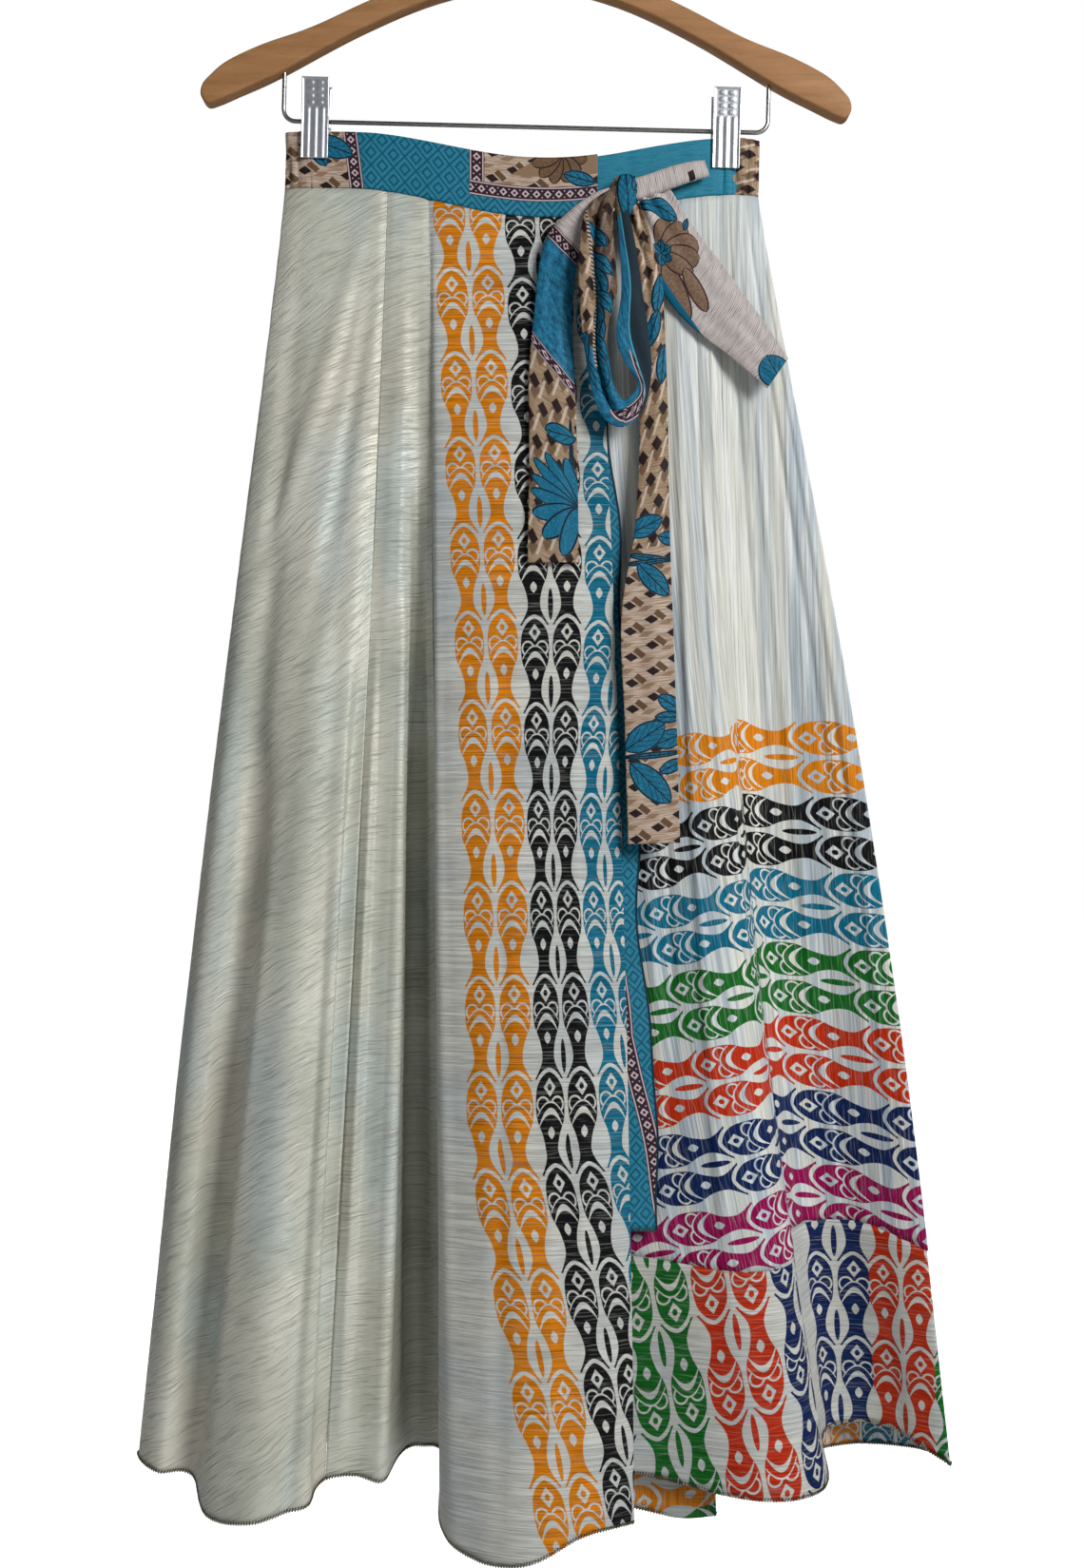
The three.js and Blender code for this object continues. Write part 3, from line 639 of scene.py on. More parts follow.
def draw_fish(tree, across, down):
    """A column of paired fish, noses up, their eyes and scale lines bare, seeds between tails."""
    x = abs(abs(across) - PAIR_APART)
    t = down % REPEAT
    early = t < HALFWAY
    before = t - (~early) * REPEAT  # measured from the nearest head, in front of it or behind
    trailing = t + (t < TAIL_PAST) * REPEAT  # measured from the head of the fish whose tail this is
    head = (x < fish_width(tree, t)) & (t < TAIL_FROM)
    tail = (x < fish_width(tree, trailing)) & (trailing > TAIL_FROM)
    next_head = x < fish_width(tree, before + GAP_AHEAD) + GAP_SIDE
    body = head | (tail & ~(next_head & (before > -GAP_AHEAD)))
    eye_share = x / EYE_HALF[0] + abs(t - EYE_AT) / EYE_HALF[1]
    eye = inside(eye_share, 5.0) & ~inside(oval(x, t - EYE_AT, PUPIL_HALF), 2.0)
    curl_share = oval(x - CURL_AT[0], t - CURL_AT[1], CURL_HALF) ** 0.5
    curl = (abs(curl_share - 0.88) * 5.0 < 0.62) & (t - x * x * BROW_BEND < CURL_END)
    brow = abs(t - x * x * BROW_BEND - BROW_AT) < 0.6
    collar_top = t - x * x * COLLAR_TOP_BEND > COLLAR_TOP
    collar = collar_top & (t - x * x * COLLAR_LOW_BEND < COLLAR_LOW) & (x < COLLAR_WIDE)
    spot = inside(x / SPOT_HALF[0] + ((t - SPOT_AT) / SPOT_HALF[1]) ** 2.0, 3.0)
    lines = eye | curl | (brow & (x < BROW_WIDE)) | collar | spot
    seed_place = (down - HALFWAY) % REPEAT + HALFWAY
    seed = inside(oval(across, seed_place - SEED_AT, SEED_HALF), 3.0)
    return (body & ~lines) | seed


fish_pair = stencil("fish_pair", ("Across", "Down"), draw_fish)

CREAM = srgb(204, 204, 196)
INKS = {
    "orange": srgb(216, 128, 8),
    "black": srgb(15, 15, 18),
    "teal": srgb(8, 106, 134),
    "green": srgb(20, 104, 34),
    "red": srgb(190, 48, 14),
    "navy": srgb(12, 36, 84),
    "magenta": srgb(146, 6, 80),
}


def pick_ink(tree, number, names):
    """The colour of a column or row, by its number."""
    ramp = put(tree, "ValToRGB")
    join(tree, (number + 0.5) / float(len(names)), ramp.inputs[0])
    ramp.color_ramp.interpolation = "CONSTANT"
    stops = ramp.color_ramp.elements
    while len(stops) < len(names):
        stops.new(0.5)
    for i, name in enumerate(names):
        stops[i].position = i / len(names)
        stops[i].color = INKS[name]
    return ramp.outputs[0]


def weft_slubs(tree, x, y):
    """Thin slubs that run straight across the cloth, 1 on a thick thread."""
    fine = grain(tree, join_vector(tree, x * 0.022, y * 0.95), 1.0, 3.0, 0.6)
    return fine.rise(0.44, 4.0)


def cream_ground(tree, x, y):
    slub = weft_slubs(tree, x, y)
    patch = grain(tree, join_vector(tree, x, y, 11.0), 70.0, 2.0)
    colour = blend(tree, CREAM, srgb(180, 188, 190), (patch - 0.4) * 3.0 & 1.0)
    return blend(tree, colour, srgb(122, 122, 118), slub * 0.52)


def inked(tree, ground, ink, mask, x, y):
    """Block print on cloth: the ink is darker on thick threads and a little uneven."""
    slub = weft_slubs(tree, x, y)
    wear = grain(tree, join_vector(tree, x * 0.03, y * 0.8, 41.0), 1.0, 3.0, 0.6)
    deep = blend(tree, ink, (0, 0, 0, 1), slub * 0.50)
    pale = blend(tree, deep, CREAM, wear.rise(0.54, 2.2, 0.13))
    return blend(tree, ground, pale, mask)


COLUMN_PITCH = 46.0
BLACK_FROM = 64.0  # how far in from the cut edge the black column ends and the orange one starts
DRIFT_FROM, DRIFT = 642.0, 0.18  # low down the edge rolls under, so the columns run off it
# Where the block was squeezed by hand, on the edge's side of BLACK_FROM and past it: how far
# down, over what spread and by what share. Past it the columns are also wider all the way.
EDGE_SQUEEZE, INNER_SQUEEZE, INNER_SCALE = (455.0, 130.0, 0.33), (400.0, 230.0, 0.12), 0.92
FISH_SCALE, FISH_GROWTH = 1.063, 7.35e-5  # the print's scale down the cloth, and how it lets up
LEVEL_AT, OUT_OF_STEP, FISH_LEAN = 471.0, 0.0195, 0.03  # columns are level there and drift apart
FLAP_INKS = ("teal", "black", "orange")
ORANGE = FLAP_INKS.index("orange")


def hump(place, middle, spread):
    """1 at the middle, fading to 0 on both sides."""
    return (((place - middle) / spread) ** 2.0 * -1.0).use("EXPONENT")


def flap_colour(tree):
    """The block was laid by hand, so columns narrow and lean here and there and drift out of step."""
    x, y = cut_place(tree)
    off = x + ((y - DRIFT_FROM) | 0.0) * DRIFT - BLACK_FROM
    near = hump(y, *EDGE_SQUEEZE[:2]) * EDGE_SQUEEZE[2] + 1.0
    far = hump(y, *INNER_SQUEEZE[:2]) * INNER_SQUEEZE[2] + INNER_SCALE
    off = (off & 0.0) * near + (off | 0.0) * far
    place = off / COLUMN_PITCH + ORANGE
    number = place.floor()
    across = (place - number - 0.5) * COLUMN_PITCH
    step = (number - ORANGE) * (y - LEVEL_AT) * OUT_OF_STEP
    down = y * FISH_SCALE - y * y * FISH_GROWTH - step - across * FISH_LEAN
    mask = print_with(tree, fish_pair, across, down) & (off < COLUMN_PITCH)
    ink = pick_ink(tree, number, FLAP_INKS)
    return inked(tree, cream_ground(tree, x, y), ink, mask, x, y)


def slub_relief(tree):
    return weft_slubs(tree, *cut_place(tree))


def printed_slub(name, colour_of, gloss=0.08):
    """Slub silk with a block print: matt ink, and the thick threads stand up a little."""
    return finish_shader(name, colour_of, slub_relief, 0.5, 0.0004, Specular_IOR_Level=gloss)


flap_silk = printed_slub("slub_cream", flap_colour)
skirt_panel(
    "border_panel", "wrap_edge", "border_seam", flap_silk, "slub_cream", satin_folds, seams=(False, True)
)

# ------------------------------------------------------------------ the crinkled gores
# The right side, the layer under the flap and the rest of the back: crinkled silk with sharp
# pleats down it. Lower down it is printed with rows of fish that lie on their sides.
ROWS_OF_INK = ("orange", "black", "teal", "green", "red", "navy", "magenta")
HEM_BAND_SHARE = 0.83  # how far down the wrap the printed hem bands begin


def crinkles(tree, x):
    """Fine uneven pleats that run down the cloth."""
    _, y = cut_place(tree)
    fine = grain(tree, join_vector(tree, x * 0.70, y * 0.010), 1.0, 3.0, 0.65)
    broad = grain(tree, join_vector(tree, x * 0.16, y * 0.006, 5.0), 1.0, 2.0)
    return fine, broad


def crinkle_ground(tree, x):
    """Silvery silk that turns from cool to ivory in broad streaks, with painted shade in its pleats and a
    painted highlight on the ribs between them.
    """
    _, y = cut_place(tree)
    fine, broad = crinkles(tree, x)
    turn = grain(tree, join_vector(tree, x * 0.066, y * 0.0012, 21.0), 1.0, 2.0)
    colour = blend(tree, srgb(168, 180, 188), srgb(202, 202, 192), turn.rise(0.42, 5.0))
    colour = blend(tree, colour, srgb(222, 224, 221), broad.rise(0.5, 6.0, 0.6))
    # Painted highlight on the ribs, and painted shade in the pleats between them.
    colour = blend(tree, colour, srgb(226, 227, 222), fine.fall(0.46, 6.0, 0.4))
    return blend(tree, colour, srgb(128, 134, 134), fine.rise(0.53, 7.0, 0.4))


def crinkle_relief(tree):
    x, _ = cut_place(tree)
    fine, broad = crinkles(tree, x)
    return fine * 0.6 + broad


def crinkle_folds(s, v, wide, deep):
    """The small creases, and narrow pleats between them that run down the cloth."""
    pleat = noise.noise(Vector((wide * 95, deep * 2.2, 8.0))) * 0.8
    return (crease_at(s, v) + pleat) * MM


ROWS_FROM = 390.0  # about how far down the first row lies


def row_print(first, pitch, slope, spread, eye, facing, squeeze):
    """The colour function of a crinkled gore with rows of fish that lie on their sides.

    first and pitch place the rows' middles where x is 0, and slope says how they fall with x and
    how that grows. eye says where a fish's eye lies and how it moves with depth, facing is 1 where
    the fish swim towards x 0, and squeeze is the print's scale along the rows, and its growth."""

    def colour_of(tree):
        x, y = cut_place(tree)
        down = y - ROWS_FROM
        place = (y - x * (down * slope[1] + slope[0]) - first) / pitch + 0.5
        number = place.floor()
        across = (place - number - 0.5) * pitch / spread
        length = (x - down * eye[1] - eye[0]) * facing / (down * squeeze[1] + squeeze[0]) + EYE_AT
        printed = (place * pitch > 0.0) & (place * pitch < pitch * len(ROWS_OF_INK))
        mask = print_with(tree, fish_pair, across, length) & printed
        return inked(tree, crinkle_ground(tree, x), pick_ink(tree, number, ROWS_OF_INK), mask, y, x)

    return colour_of


under_rows = row_print(385.5, 51.3, (0.185, 0.0), 1.06, (53.0, -0.212), -1.0, (0.83, 0.00055))
right_rows = row_print(384.5, 50.3, (0.085, 0.00044), 1.10, (55.5, 0.19), 1.0, (1.05, 0.0))


def crinkle_silk(name, colour_of, rough=0.5, **sockets):
    return finish_shader(name, colour_of, crinkle_relief, rough, 0.0012, **sockets)


def plain_colour(tree):
    return crinkle_ground(tree, cut_place(tree)[0])


under_silk = crinkle_silk("crinkle_under", under_rows, Specular_IOR_Level=0.08)
right_silk = crinkle_silk("crinkle_right", right_rows, Specular_IOR_Level=0.08)
plain_silk = crinkle_silk("crinkle_silver", plain_colour, 0.45, Sheen_Weight=0.3)
BACK_PRINT_FROM, BACK_PITCH = 815.0, 52.0


def back_hem_colour(tree):
    """The last back gore is printed along its hem, in orange and teal."""
    x, y = cut_place(tree)
    number = (x / BACK_PITCH).floor()
    across = (x / BACK_PITCH - number - 0.5) * BACK_PITCH / 1.15
    mask = print_with(tree, fish_pair, across, y - 6.0) & (y > BACK_PRINT_FROM)
    ink = pick_ink(tree, number % 2.0, ("orange", "teal"))
    return inked(tree, crinkle_ground(tree, x), ink, mask, x, y)


hemmed_silk = crinkle_silk("crinkle_hem", back_hem_colour, Specular_IOR_Level=0.2)
skirt_panel(
    "right_gore", "back_12", "under_seam", right_silk, "crinkle_silver", crinkle_folds,
    bottom=HEM_BAND_SHARE, count_from="end",
)
skirt_panel(
    "under_gore", "under_seam", "lap_end", under_silk, "crinkle_silver", crinkle_folds,
    bottom=HEM_BAND_SHARE, seams=(True, False),
)
skirt_panel("back_middle_gore", "back_4", "back_8", plain_silk, "crinkle_silver", crinkle_folds)
skirt_panel("back_right_gore", "back_8", "back_12", hemmed_silk, "crinkle_silver", crinkle_folds)

# ------------------------------------------------------------------ the hem bands
# A deep band of slub silk sewn to the lower edge of the crinkled gores, printed with the same
# fish in upright columns: heads down under the flap, heads up at the side.
BAND_INKS = ("navy", "red", "green")


def column_print(names, first, pitch, spread, lean, facing, eye, squeeze):
    """The colour function of a band with upright columns of fish.

    first and pitch place the columns' middles and lean how they drift with depth. eye gives the
    depth of a row of eyes and its slope, and facing is 1 where the fish swim up."""

    def colour_of(tree):
        x, y = cut_place(tree)
        place = (x - (y - eye[0]) * lean - first) / pitch + 0.5
        number = place.floor()
        across = (place - number - 0.5) * pitch / spread
        length = (y - x * eye[1] - eye[0]) * facing / squeeze + EYE_AT
        mask = print_with(tree, fish_pair, across, length) & (number > -0.5)
        ink = pick_ink(tree, number % float(len(names)), names)
        return inked(tree, cream_ground(tree, x, y), ink, mask, x, y)

    return colour_of


under_columns = column_print(BAND_INKS, 27.2, 54.5, 1.17, 0.035, -1.0, (717.9, 0.29), 1.05)
right_columns = column_print(BAND_INKS, 46.5, 48.0, 1.14, -0.046, 1.0, (742.0, 0.0), 1.0)
under_band = printed_slub("fish_band_under", under_columns)
right_band = printed_slub("fish_band_right", right_columns)
skirt_panel(
    "right_hem_band", "back_12", "under_seam", right_band, "fish_print", satin_folds,
    top=HEM_BAND_SHARE, count_from="end",
)
skirt_panel(
    "under_hem_band", "under_seam", "lap_end", under_band, "fish_print", satin_folds,
    top=HEM_BAND_SHARE, seams=(True, False),
)

# ------------------------------------------------------------------ the inner layers
# Two flaps hang inside the wrap: one of teal lattice print with a dark border along its edge,
# and one of the fish silk, which shows only below the hem. Their tops are caught in the band.
INNER_LAP = 6  # how far their tops reach up behind the band
# One row for each of a flap's edges and its middle: its place along X at the waist and at the
# hem, its place along Y there, and the height of the hem.
LINE_WAIST, LINE_HEM, LINE_TOP, LINE_DEEP, LINE_LOW = range(5)
TEAL_LINES = [(16, 30, -7.2, -50, -930), (30, 58, -7.2, -42, -933), (43, 86, -7.2, -36, -935)]
FISH_LINES = [(44, 66, -3.0, -14, -1126), (64, 98, -3.0, -20, -1130), (84, 126, -3.0, -22, -1128)]


EDGE_SWING = 2.0  # how far their free edges swing, in millimetres


def inner_point(lines):
    """The surface of a limp flap, whose free edge, at s 2, swings in and out as it falls."""

    def point(s, v):
        waist = along(lines, LINE_WAIST, s)
        seam = edge_height(BAND_BOTTOM, SEAM_SAG, waist) + INNER_LAP
        swing = math.sin(v * 24) + 0.6 * math.sin(v * 41 + 1.3)
        x = mix(waist, along(lines, LINE_HEM, s), v) + EDGE_SWING * swing * (s / 2) ** 2 * min(v * 3, 1)
        y = mix(along(lines, LINE_TOP, s), along(lines, LINE_DEEP, s), v**FOLD_GROWTH)
        return Vector((x, y, mix(seam, along(lines, LINE_LOW, s), v))) * MM

    return point


AUBERGINE, MAUVE = srgb(42, 27, 38), srgb(190, 168, 172)
TEAL, TEAL_DARK, TEAL_LIGHT = srgb(23, 110, 136), srgb(6, 66, 92), srgb(68, 152, 172)


def lattice_of(tree, x, y, pitch=15.5):
    """Tone on tone diamonds, each with a smaller diamond in it."""
    a = ((x + y * 0.9) / pitch) % 1.0 - 0.5
    b = ((x - y * 0.9) / pitch) % 1.0 - 0.5
    edge = abs(a) | abs(b)
    ring = abs(edge - 0.22) * 10.0 < 0.55
    line = edge * 10.0 > 4.5
    return ring | line


def teal_cloth(tree, x, y, pitch=15.5):
    thread = grain(tree, join_vector(tree, x * 2.2, y * 0.5, 3.0), 1.0, 3.0)
    colour = blend(tree, TEAL, TEAL_LIGHT, thread.rise(0.42, 2.0, 0.7))
    return blend(tree, colour, TEAL_DARK, lattice_of(tree, x, y, pitch) * 0.85)


def border_on(tree, under, run, side, half, where=None):
    """Lays a dark border over a colour: pale edge lines and a chain of diamonds.

    run is along the border and side from its middle."""
    edge = abs(abs(side) - half * 0.82) < half * 0.08
    step = run % (half * 1.5) - half * 0.75
    size = abs(step) + abs(side)
    diamond = (size < half * 0.52) & ~(size < half * 0.24)
    dot_off = ((abs(step) - half * 0.75) ** 2.0 + (abs(side) - half * 0.42) ** 2.0) ** 0.5
    strip = blend(tree, AUBERGINE, MAUVE, edge | diamond | (dot_off < half * 0.09))
    mask = abs(side) < half
    return blend(tree, under, strip, mask & where if where else mask)


INNER_BORDER, BORDER_DRIFT_FROM = 18.0, 572.0  # its place from the edge, and where it drifts off


def inner_teal_colour(tree):
    x, y = cut_place(tree)
    drift = ((y - BORDER_DRIFT_FROM) | 0.0) * DRIFT
    colour = border_on(tree, teal_cloth(tree, x, y), y, x - INNER_BORDER + drift, 5.5)
    return blend(tree, colour, srgb(12, 40, 56), x < 1.6)


def thread_relief(tree):
    x, y = cut_place(tree)
    return grain(tree, join_vector(tree, x * 1.2, y * 0.8, 2.0), 1.0, 4.0)


def printed_cotton(name, colour_of, relief_of=thread_relief):
    return finish_shader(name, colour_of, relief_of, 0.6, 0.0003, Specular_IOR_Level=0.15)


inner_teal = printed_cotton("lattice_teal", inner_teal_colour)
# The orange row's middle at the edge, how the rows fall away from it, and their pitch.
INNER_ROWS, ROW_SLOPE, ROW_PITCH = 860.0, 0.25, 50.0


def inner_rows(tree):
    """Rows of fish on their sides, orange over green at the hem."""
    x, y = cut_place(tree)
    place = (y - x * ROW_SLOPE - INNER_ROWS) / ROW_PITCH + 0.5
    number = place.floor()
    across = (place - number - 0.5) * ROW_PITCH / 1.25
    mask = print_with(tree, fish_pair, across, x + 22.0)
    ink = pick_ink(tree, number % 2.0, ("orange", "green"))
    return inked(tree, cream_ground(tree, x, y), ink, mask, y, x)


inner_fish = printed_slub("fish_inner", inner_rows, 0.15)


def inner_folds(s, v, wide, deep):
    """Soft dents, and level waves that grow towards the hem."""
    wave = math.sin(deep * 43 + 1.0) + 0.7 * math.sin(deep * 91)
    return noise.noise(Vector((wide * 30, deep * 9, 5.0))) * 2.2 * MM + wave * 0.8 * MM * v


for name, lines, finish, slot in (
    ("inner_panel", TEAL_LINES, inner_teal, "band_print"),
    ("under_inner_panel", FISH_LINES, inner_fish, "fish_print"),
):
    point = inner_point(lines)
    cloth = lay_cloth(
        name + "_cloth", point, (2, 0), (0, 1), (40, 150), CLOTH, inner_folds, seams=(False, False)
    )
    dress(cloth, finish, [name])
    panels[name] = (cloth, point, (2, 0))

# ------------------------------------------------------------------ the waistband
# A folded strip of printed cotton sewn round the top of the gores in three lengths. It is
# smooth in front and gathered at both sides, where it turns to the back.
BAND_CLOTH = 1.5 * MM
BAND_TOP, TOP_SAG = -198, 17  # its upper edge at the clips, and how far that sags between them
TAN, TAN_PALE, TAN_DARK, UMBER = srgb(132, 106, 82), srgb(192, 176, 160), srgb(92, 68, 48), srgb(34, 20, 21)
GROUND = srgb(146, 122, 102)
LEAF_BLUE, LEAF_DARK = srgb(8, 92, 120), srgb(8, 16, 28)


def band_point(s, v):
    """A point of the band: s counts rows of FOLDS, v runs from its lower edge to its upper one."""
    waist = along(FOLDS, WAIST, s)
    low = edge_height(BAND_BOTTOM, SEAM_SAG, waist)
    return Vector((waist, along(FOLDS, TOP, s), mix(low, edge_height(BAND_TOP, TOP_SAG, waist), v))) * MM


GATHERS = [(15.2, 20.5), (29.5, 36.2)]  # the fold rows between which the band is gathered
BACK_ROWS = (19, 30)  # and between which it is the loosely gathered back


def band_gathers(s, v, wide, deep):
    """Fine ruffles where the band is gathered, and nearly smooth cloth elsewhere."""
    push = noise.noise(Vector((wide * 40, deep * 30, 2.0))) * 0.35
    for start, end in GATHERS:
        gathered = max(0, min(1, (s - start) * 2, (end - s) * 2))
        ruffle = noise.noise(Vector((wide * 230, deep * 22, 4.0)))
        push += gathered * (2.1 * ruffle + 0.5 * noise.noise(Vector((wide * 520, deep * 60, 9.0))))
    if BACK_ROWS[0] < s < BACK_ROWS[1]:
        push += 0.8 * noise.noise(Vector((wide * 150, deep * 12, 6.0)))
    return push * MM


# The lattice print lies in columns that each sit a little higher: how far apart they are, how much
# higher, the repeat down, and how the columns lean. One part of the cloth has a taller lattice.
FLAT_LATTICE, TALL_LATTICE = (14.3, 6.8, 17.2, 0.0), (11.9, 8.4, 16.2, 0.302)
# Its shapes: place in the repeat, then two slanting bands that bound it, each as how it runs
# across and down and its half width, in millimetres.
DIAMOND = ((0.0, 0.0), (0.618, -0.785, 2.5), (0.455, 0.891, 2.6))
BROWN_BAR = ((5.7, -2.4), (0.695, 0.72, 3.9), (-0.654, 0.756, 2.0))
TAN_BAR = ((10.6, 2.6), (0.532, 0.847, 1.85), (-0.063, 1.0, 1.76))
TALL_DIAMOND = ((0.0, 0.0), (0.84, 0.54, 3.0), (0.84, -0.54, 3.0))
TALL_BROWN = ((-0.5, 5.0), (0.89, 0.46, 3.7), (0.89, -0.46, 3.7))
TALL_PALE = ((4.7, 3.0), (0.96, 0.28, 0.75), (0.0, 1.0, 7.2))


def repeated(shape, lattice):
    """The mask of one shape of the lattice print."""

    def draw(tree, x, y):
        at, first, second = shape
        step, higher, fall, lean = lattice
        across = x - at[0] - (y - at[1]) * lean
        column = (across / step + 0.5).floor()
        down = (y - at[1] + column * higher) / fall + 0.5
        b = (down - down.floor() - 0.5) * fall
        a = across - column * step + b * lean
        bands = [abs(a * run + b * rise) < half for run, rise, half in (first, second)]
        return bands[0] & bands[1]

    return draw


def lattice_stencil(name, shape, lattice, soft):
    return stencil(name, ("X", "Y"), repeated(shape, lattice), soft)


diamonds = lattice_stencil("lattice_diamonds", DIAMOND, FLAT_LATTICE, 0.4)
brown_bars = lattice_stencil("lattice_brown", BROWN_BAR, FLAT_LATTICE, 0.5)
tan_bars = lattice_stencil("lattice_tan", TAN_BAR, FLAT_LATTICE, 0.7)
tall_diamonds = lattice_stencil("tall_diamonds", TALL_DIAMOND, TALL_LATTICE, 0.5)
tall_browns = lattice_stencil("tall_brown", TALL_BROWN, TALL_LATTICE, 0.8)
tall_strokes = lattice_stencil("tall_pale", TALL_PALE, TALL_LATTICE, 0.8)


def striped_ground(tree, x, y, under=GROUND, over=TAN_PALE):
    thread = grain(tree, join_vector(tree, x * 0.07, y * 1.7, 6.0), 1.0, 2.0)
    return blend(tree, under, over, thread.rise(0.42, 5.0))


def trellis(tree, x, y):
    """Pale striped ground with rows of dark diamonds, each with a brown and a tan bar beside it.

    x runs to the right and y down."""
    brush = grain(tree, join_vector(tree, x * 0.5, y * 0.5, 12.0), 1.0, 3.0)
    colour = striped_ground(tree, x, y)
    colour = blend(tree, colour, TAN, print_with(tree, tan_bars, x, y) * ((brush + 0.45) & 1.0))
    colour = blend(tree, colour, TAN_DARK, print_with(tree, brown_bars, x, y))
    return blend(tree, colour, UMBER, print_with(tree, diamonds, x, y))


def tall_trellis(tree, x, y):
    """Tan ground with upright dark diamonds, each over a brown lozenge, and pale strokes."""
    brush = grain(tree, join_vector(tree, x * 0.4, y * 0.25, 15.0), 1.0, 3.0)
    colour = striped_ground(tree, x, y, srgb(128, 104, 80), srgb(168, 146, 120))
    colour = blend(tree, colour, TAN_DARK, print_with(tree, tall_browns, x, y) * 0.8)
    colour = blend(tree, colour, TAN_PALE, print_with(tree, tall_strokes, x, y) * ((brush + 0.4) & 1.0))
    return blend(tree, colour, UMBER, print_with(tree, tall_diamonds, x, y))


VEIN_PITCH, VEIN_SLANT, VEIN_HALF = 6.5, 1.8, 0.4
LINE_IN, LINE_OUT = 0.45, 0.6  # how far a leaf's outline reaches in and out from its edge


def draw_leaf(veined):
    """A pointed leaf with a midrib and slanting veins, or a plain petal.

    0 outside, 1 on it, 2 on its outline and veins."""

    def draw(tree, x, y, at_x, at_y, angle, long, wide):
        c, s = angle.use("COSINE"), angle.use("SINE")
        dx, dy = x - at_x, y - at_y
        run, side = dx * c + dy * s, dy * c - dx * s
        share = run / long
        blunt = 0.7 if veined else 0.5
        bulge = ((share * (-share + 1.0) * 4.0) | 0.0) ** blunt * wide * 0.5
        leaf = (abs(side) < bulge) & (run > 0.0) & (run < long)
        rim = (abs(side) > bulge - LINE_IN) & (abs(side) < bulge + LINE_OUT)
        rim = rim & (run > -0.5) & (run < long + 0.5)
        if veined:
            slant = (run - abs(side) * VEIN_SLANT) / VEIN_PITCH
            veins = abs(slant % 1.0 - 0.5) * VEIN_PITCH < VEIN_HALF
            veins = veins & (share > 0.12) & (abs(side) < bulge * 0.8)
            rim = rim | (leaf & ((abs(side) < VEIN_HALF) | veins))
        return leaf + rim * (~leaf + 1.0)

    return draw


LEAF_INPUTS = ("X", "Y", "AtX", "AtY", "Angle", "Long", "Wide")
leaf_stencil = stencil("leaf", LEAF_INPUTS, draw_leaf(True))
petal_stencil = stencil("petal", LEAF_INPUTS, draw_leaf(False))


def leaves_on(tree, under, x, y, leaves, fill=LEAF_BLUE, line=LEAF_DARK, pattern=leaf_stencil):
    """Paints leaves or petals over a colour, a row for each: its root, angle, length and width."""
    light = tuple(min(1.0, part * 1.9 + 0.02) for part in fill[:3]) + (1,)
    for at_x, at_y, angle, long, wide in leaves:
        level = print_with(tree, pattern, x, y, at_x, at_y, math.radians(angle), long, wide)
        brush = grain(tree, join_vector(tree, x * 0.5, y * 0.5, 8.0), 1.0, 4.0, 0.7)
        shade = blend(tree, fill, light, brush.rise(0.45, 3.0, 0.7))
        under = blend(tree, under, shade, level & 1.0)
        under = blend(tree, under, line, (level - 1.0) | 0.0)
    return under


BAND_TALL = 39.0
# The front length, from the wrap's edge and up from the band's lower edge: a corner of trellis
# framed by an upright and a level border, then teal, and trellis again past a third border.
CORNER_WIDE, CORNER_FROM, FRAME_END = 77.0, 18.5, 87.0
UPRIGHT_BORDER, LEVEL_BORDER, SIDE_BORDER, SIDE_TRELLIS = 82.0, 14.0, 167.0, 168.0
FRONT_LEAVES = [(196, 34, 200, 30, 14), (186, 16, 60, 16, 9), (2, 20, 20, 22, 9)]
FRONT_PETALS = [(26, 40, angle, 19, 9) for angle in (192, 222, 252, 282, 312, 342)]


def band_front_colour(tree):
    """Teal lattice with a tan flower beside the wrap's edge, and the trellis at the left side."""
    x, deep = cut_place(tree)
    y = BAND_TALL - deep
    colour = teal_cloth(tree, x, y)
    ground = trellis(tree, -x, deep)
    colour = blend(tree, colour, ground, (x < CORNER_WIDE) & (y > CORNER_FROM))
    tan_top = (x < 62.0 - (y - 24.0) * 1.5) & (y > 26.0)
    colour = blend(tree, colour, TAN, tan_top)
    colour = leaves_on(tree, colour, x, y, FRONT_PETALS, TAN_DARK, UMBER, petal_stencil)
    colour = border_on(tree, colour, y, x - UPRIGHT_BORDER, 5.2, y > 9.0)
    colour = border_on(tree, colour, x, y - LEVEL_BORDER, 5.0, x < FRAME_END)
    colour = blend(tree, colour, ground, x > SIDE_TRELLIS)
    colour = border_on(tree, colour, y, x - SIDE_BORDER - (y - 19.0) * 0.12, 5.0)
    return leaves_on(tree, colour, x, y, FRONT_LEAVES)


def band_side_colour(tree):
    """Plain teal with threads that show, and tan where the band is gathered at the side."""
    x, deep = cut_place(tree)
    y = BAND_TALL - deep
    thread = grain(tree, join_vector(tree, x * 0.08, y * 1.6, 3.0), 1.0, 3.0)
    colour = blend(tree, TEAL, TEAL_LIGHT, thread.rise(0.42, 3.0, 0.8))
    colour = blend(tree, colour, TEAL_DARK, thread.rise(0.56, 6.0, 0.7))
    edge = grain(tree, join_vector(tree, y * 0.12, 3.0), 1.0, 3.0) * 16.0
    return blend(tree, colour, tall_trellis(tree, y, x), x < edge + 16.0)


BACK_TEAL = (70.0, 190.0)  # between its borders the back length shows the teal lattice
BACK_LEAVES = [(20, 12, 40, 26, 11), (226, 30, 220, 28, 11), (250, 8, 60, 22, 11)]


def band_back_colour(tree):
    """The trellis, with a stretch of teal lattice between two borders."""
    x, deep = cut_place(tree)
    y = BAND_TALL - deep
    between = (x > BACK_TEAL[0]) & (x < BACK_TEAL[1])
    colour = blend(tree, trellis(tree, -x, deep), teal_cloth(tree, x, y), between)
    for middle in BACK_TEAL:
        colour = border_on(tree, colour, y, x - middle, 5.0)
    return leaves_on(tree, colour, x, y, BACK_LEAVES)


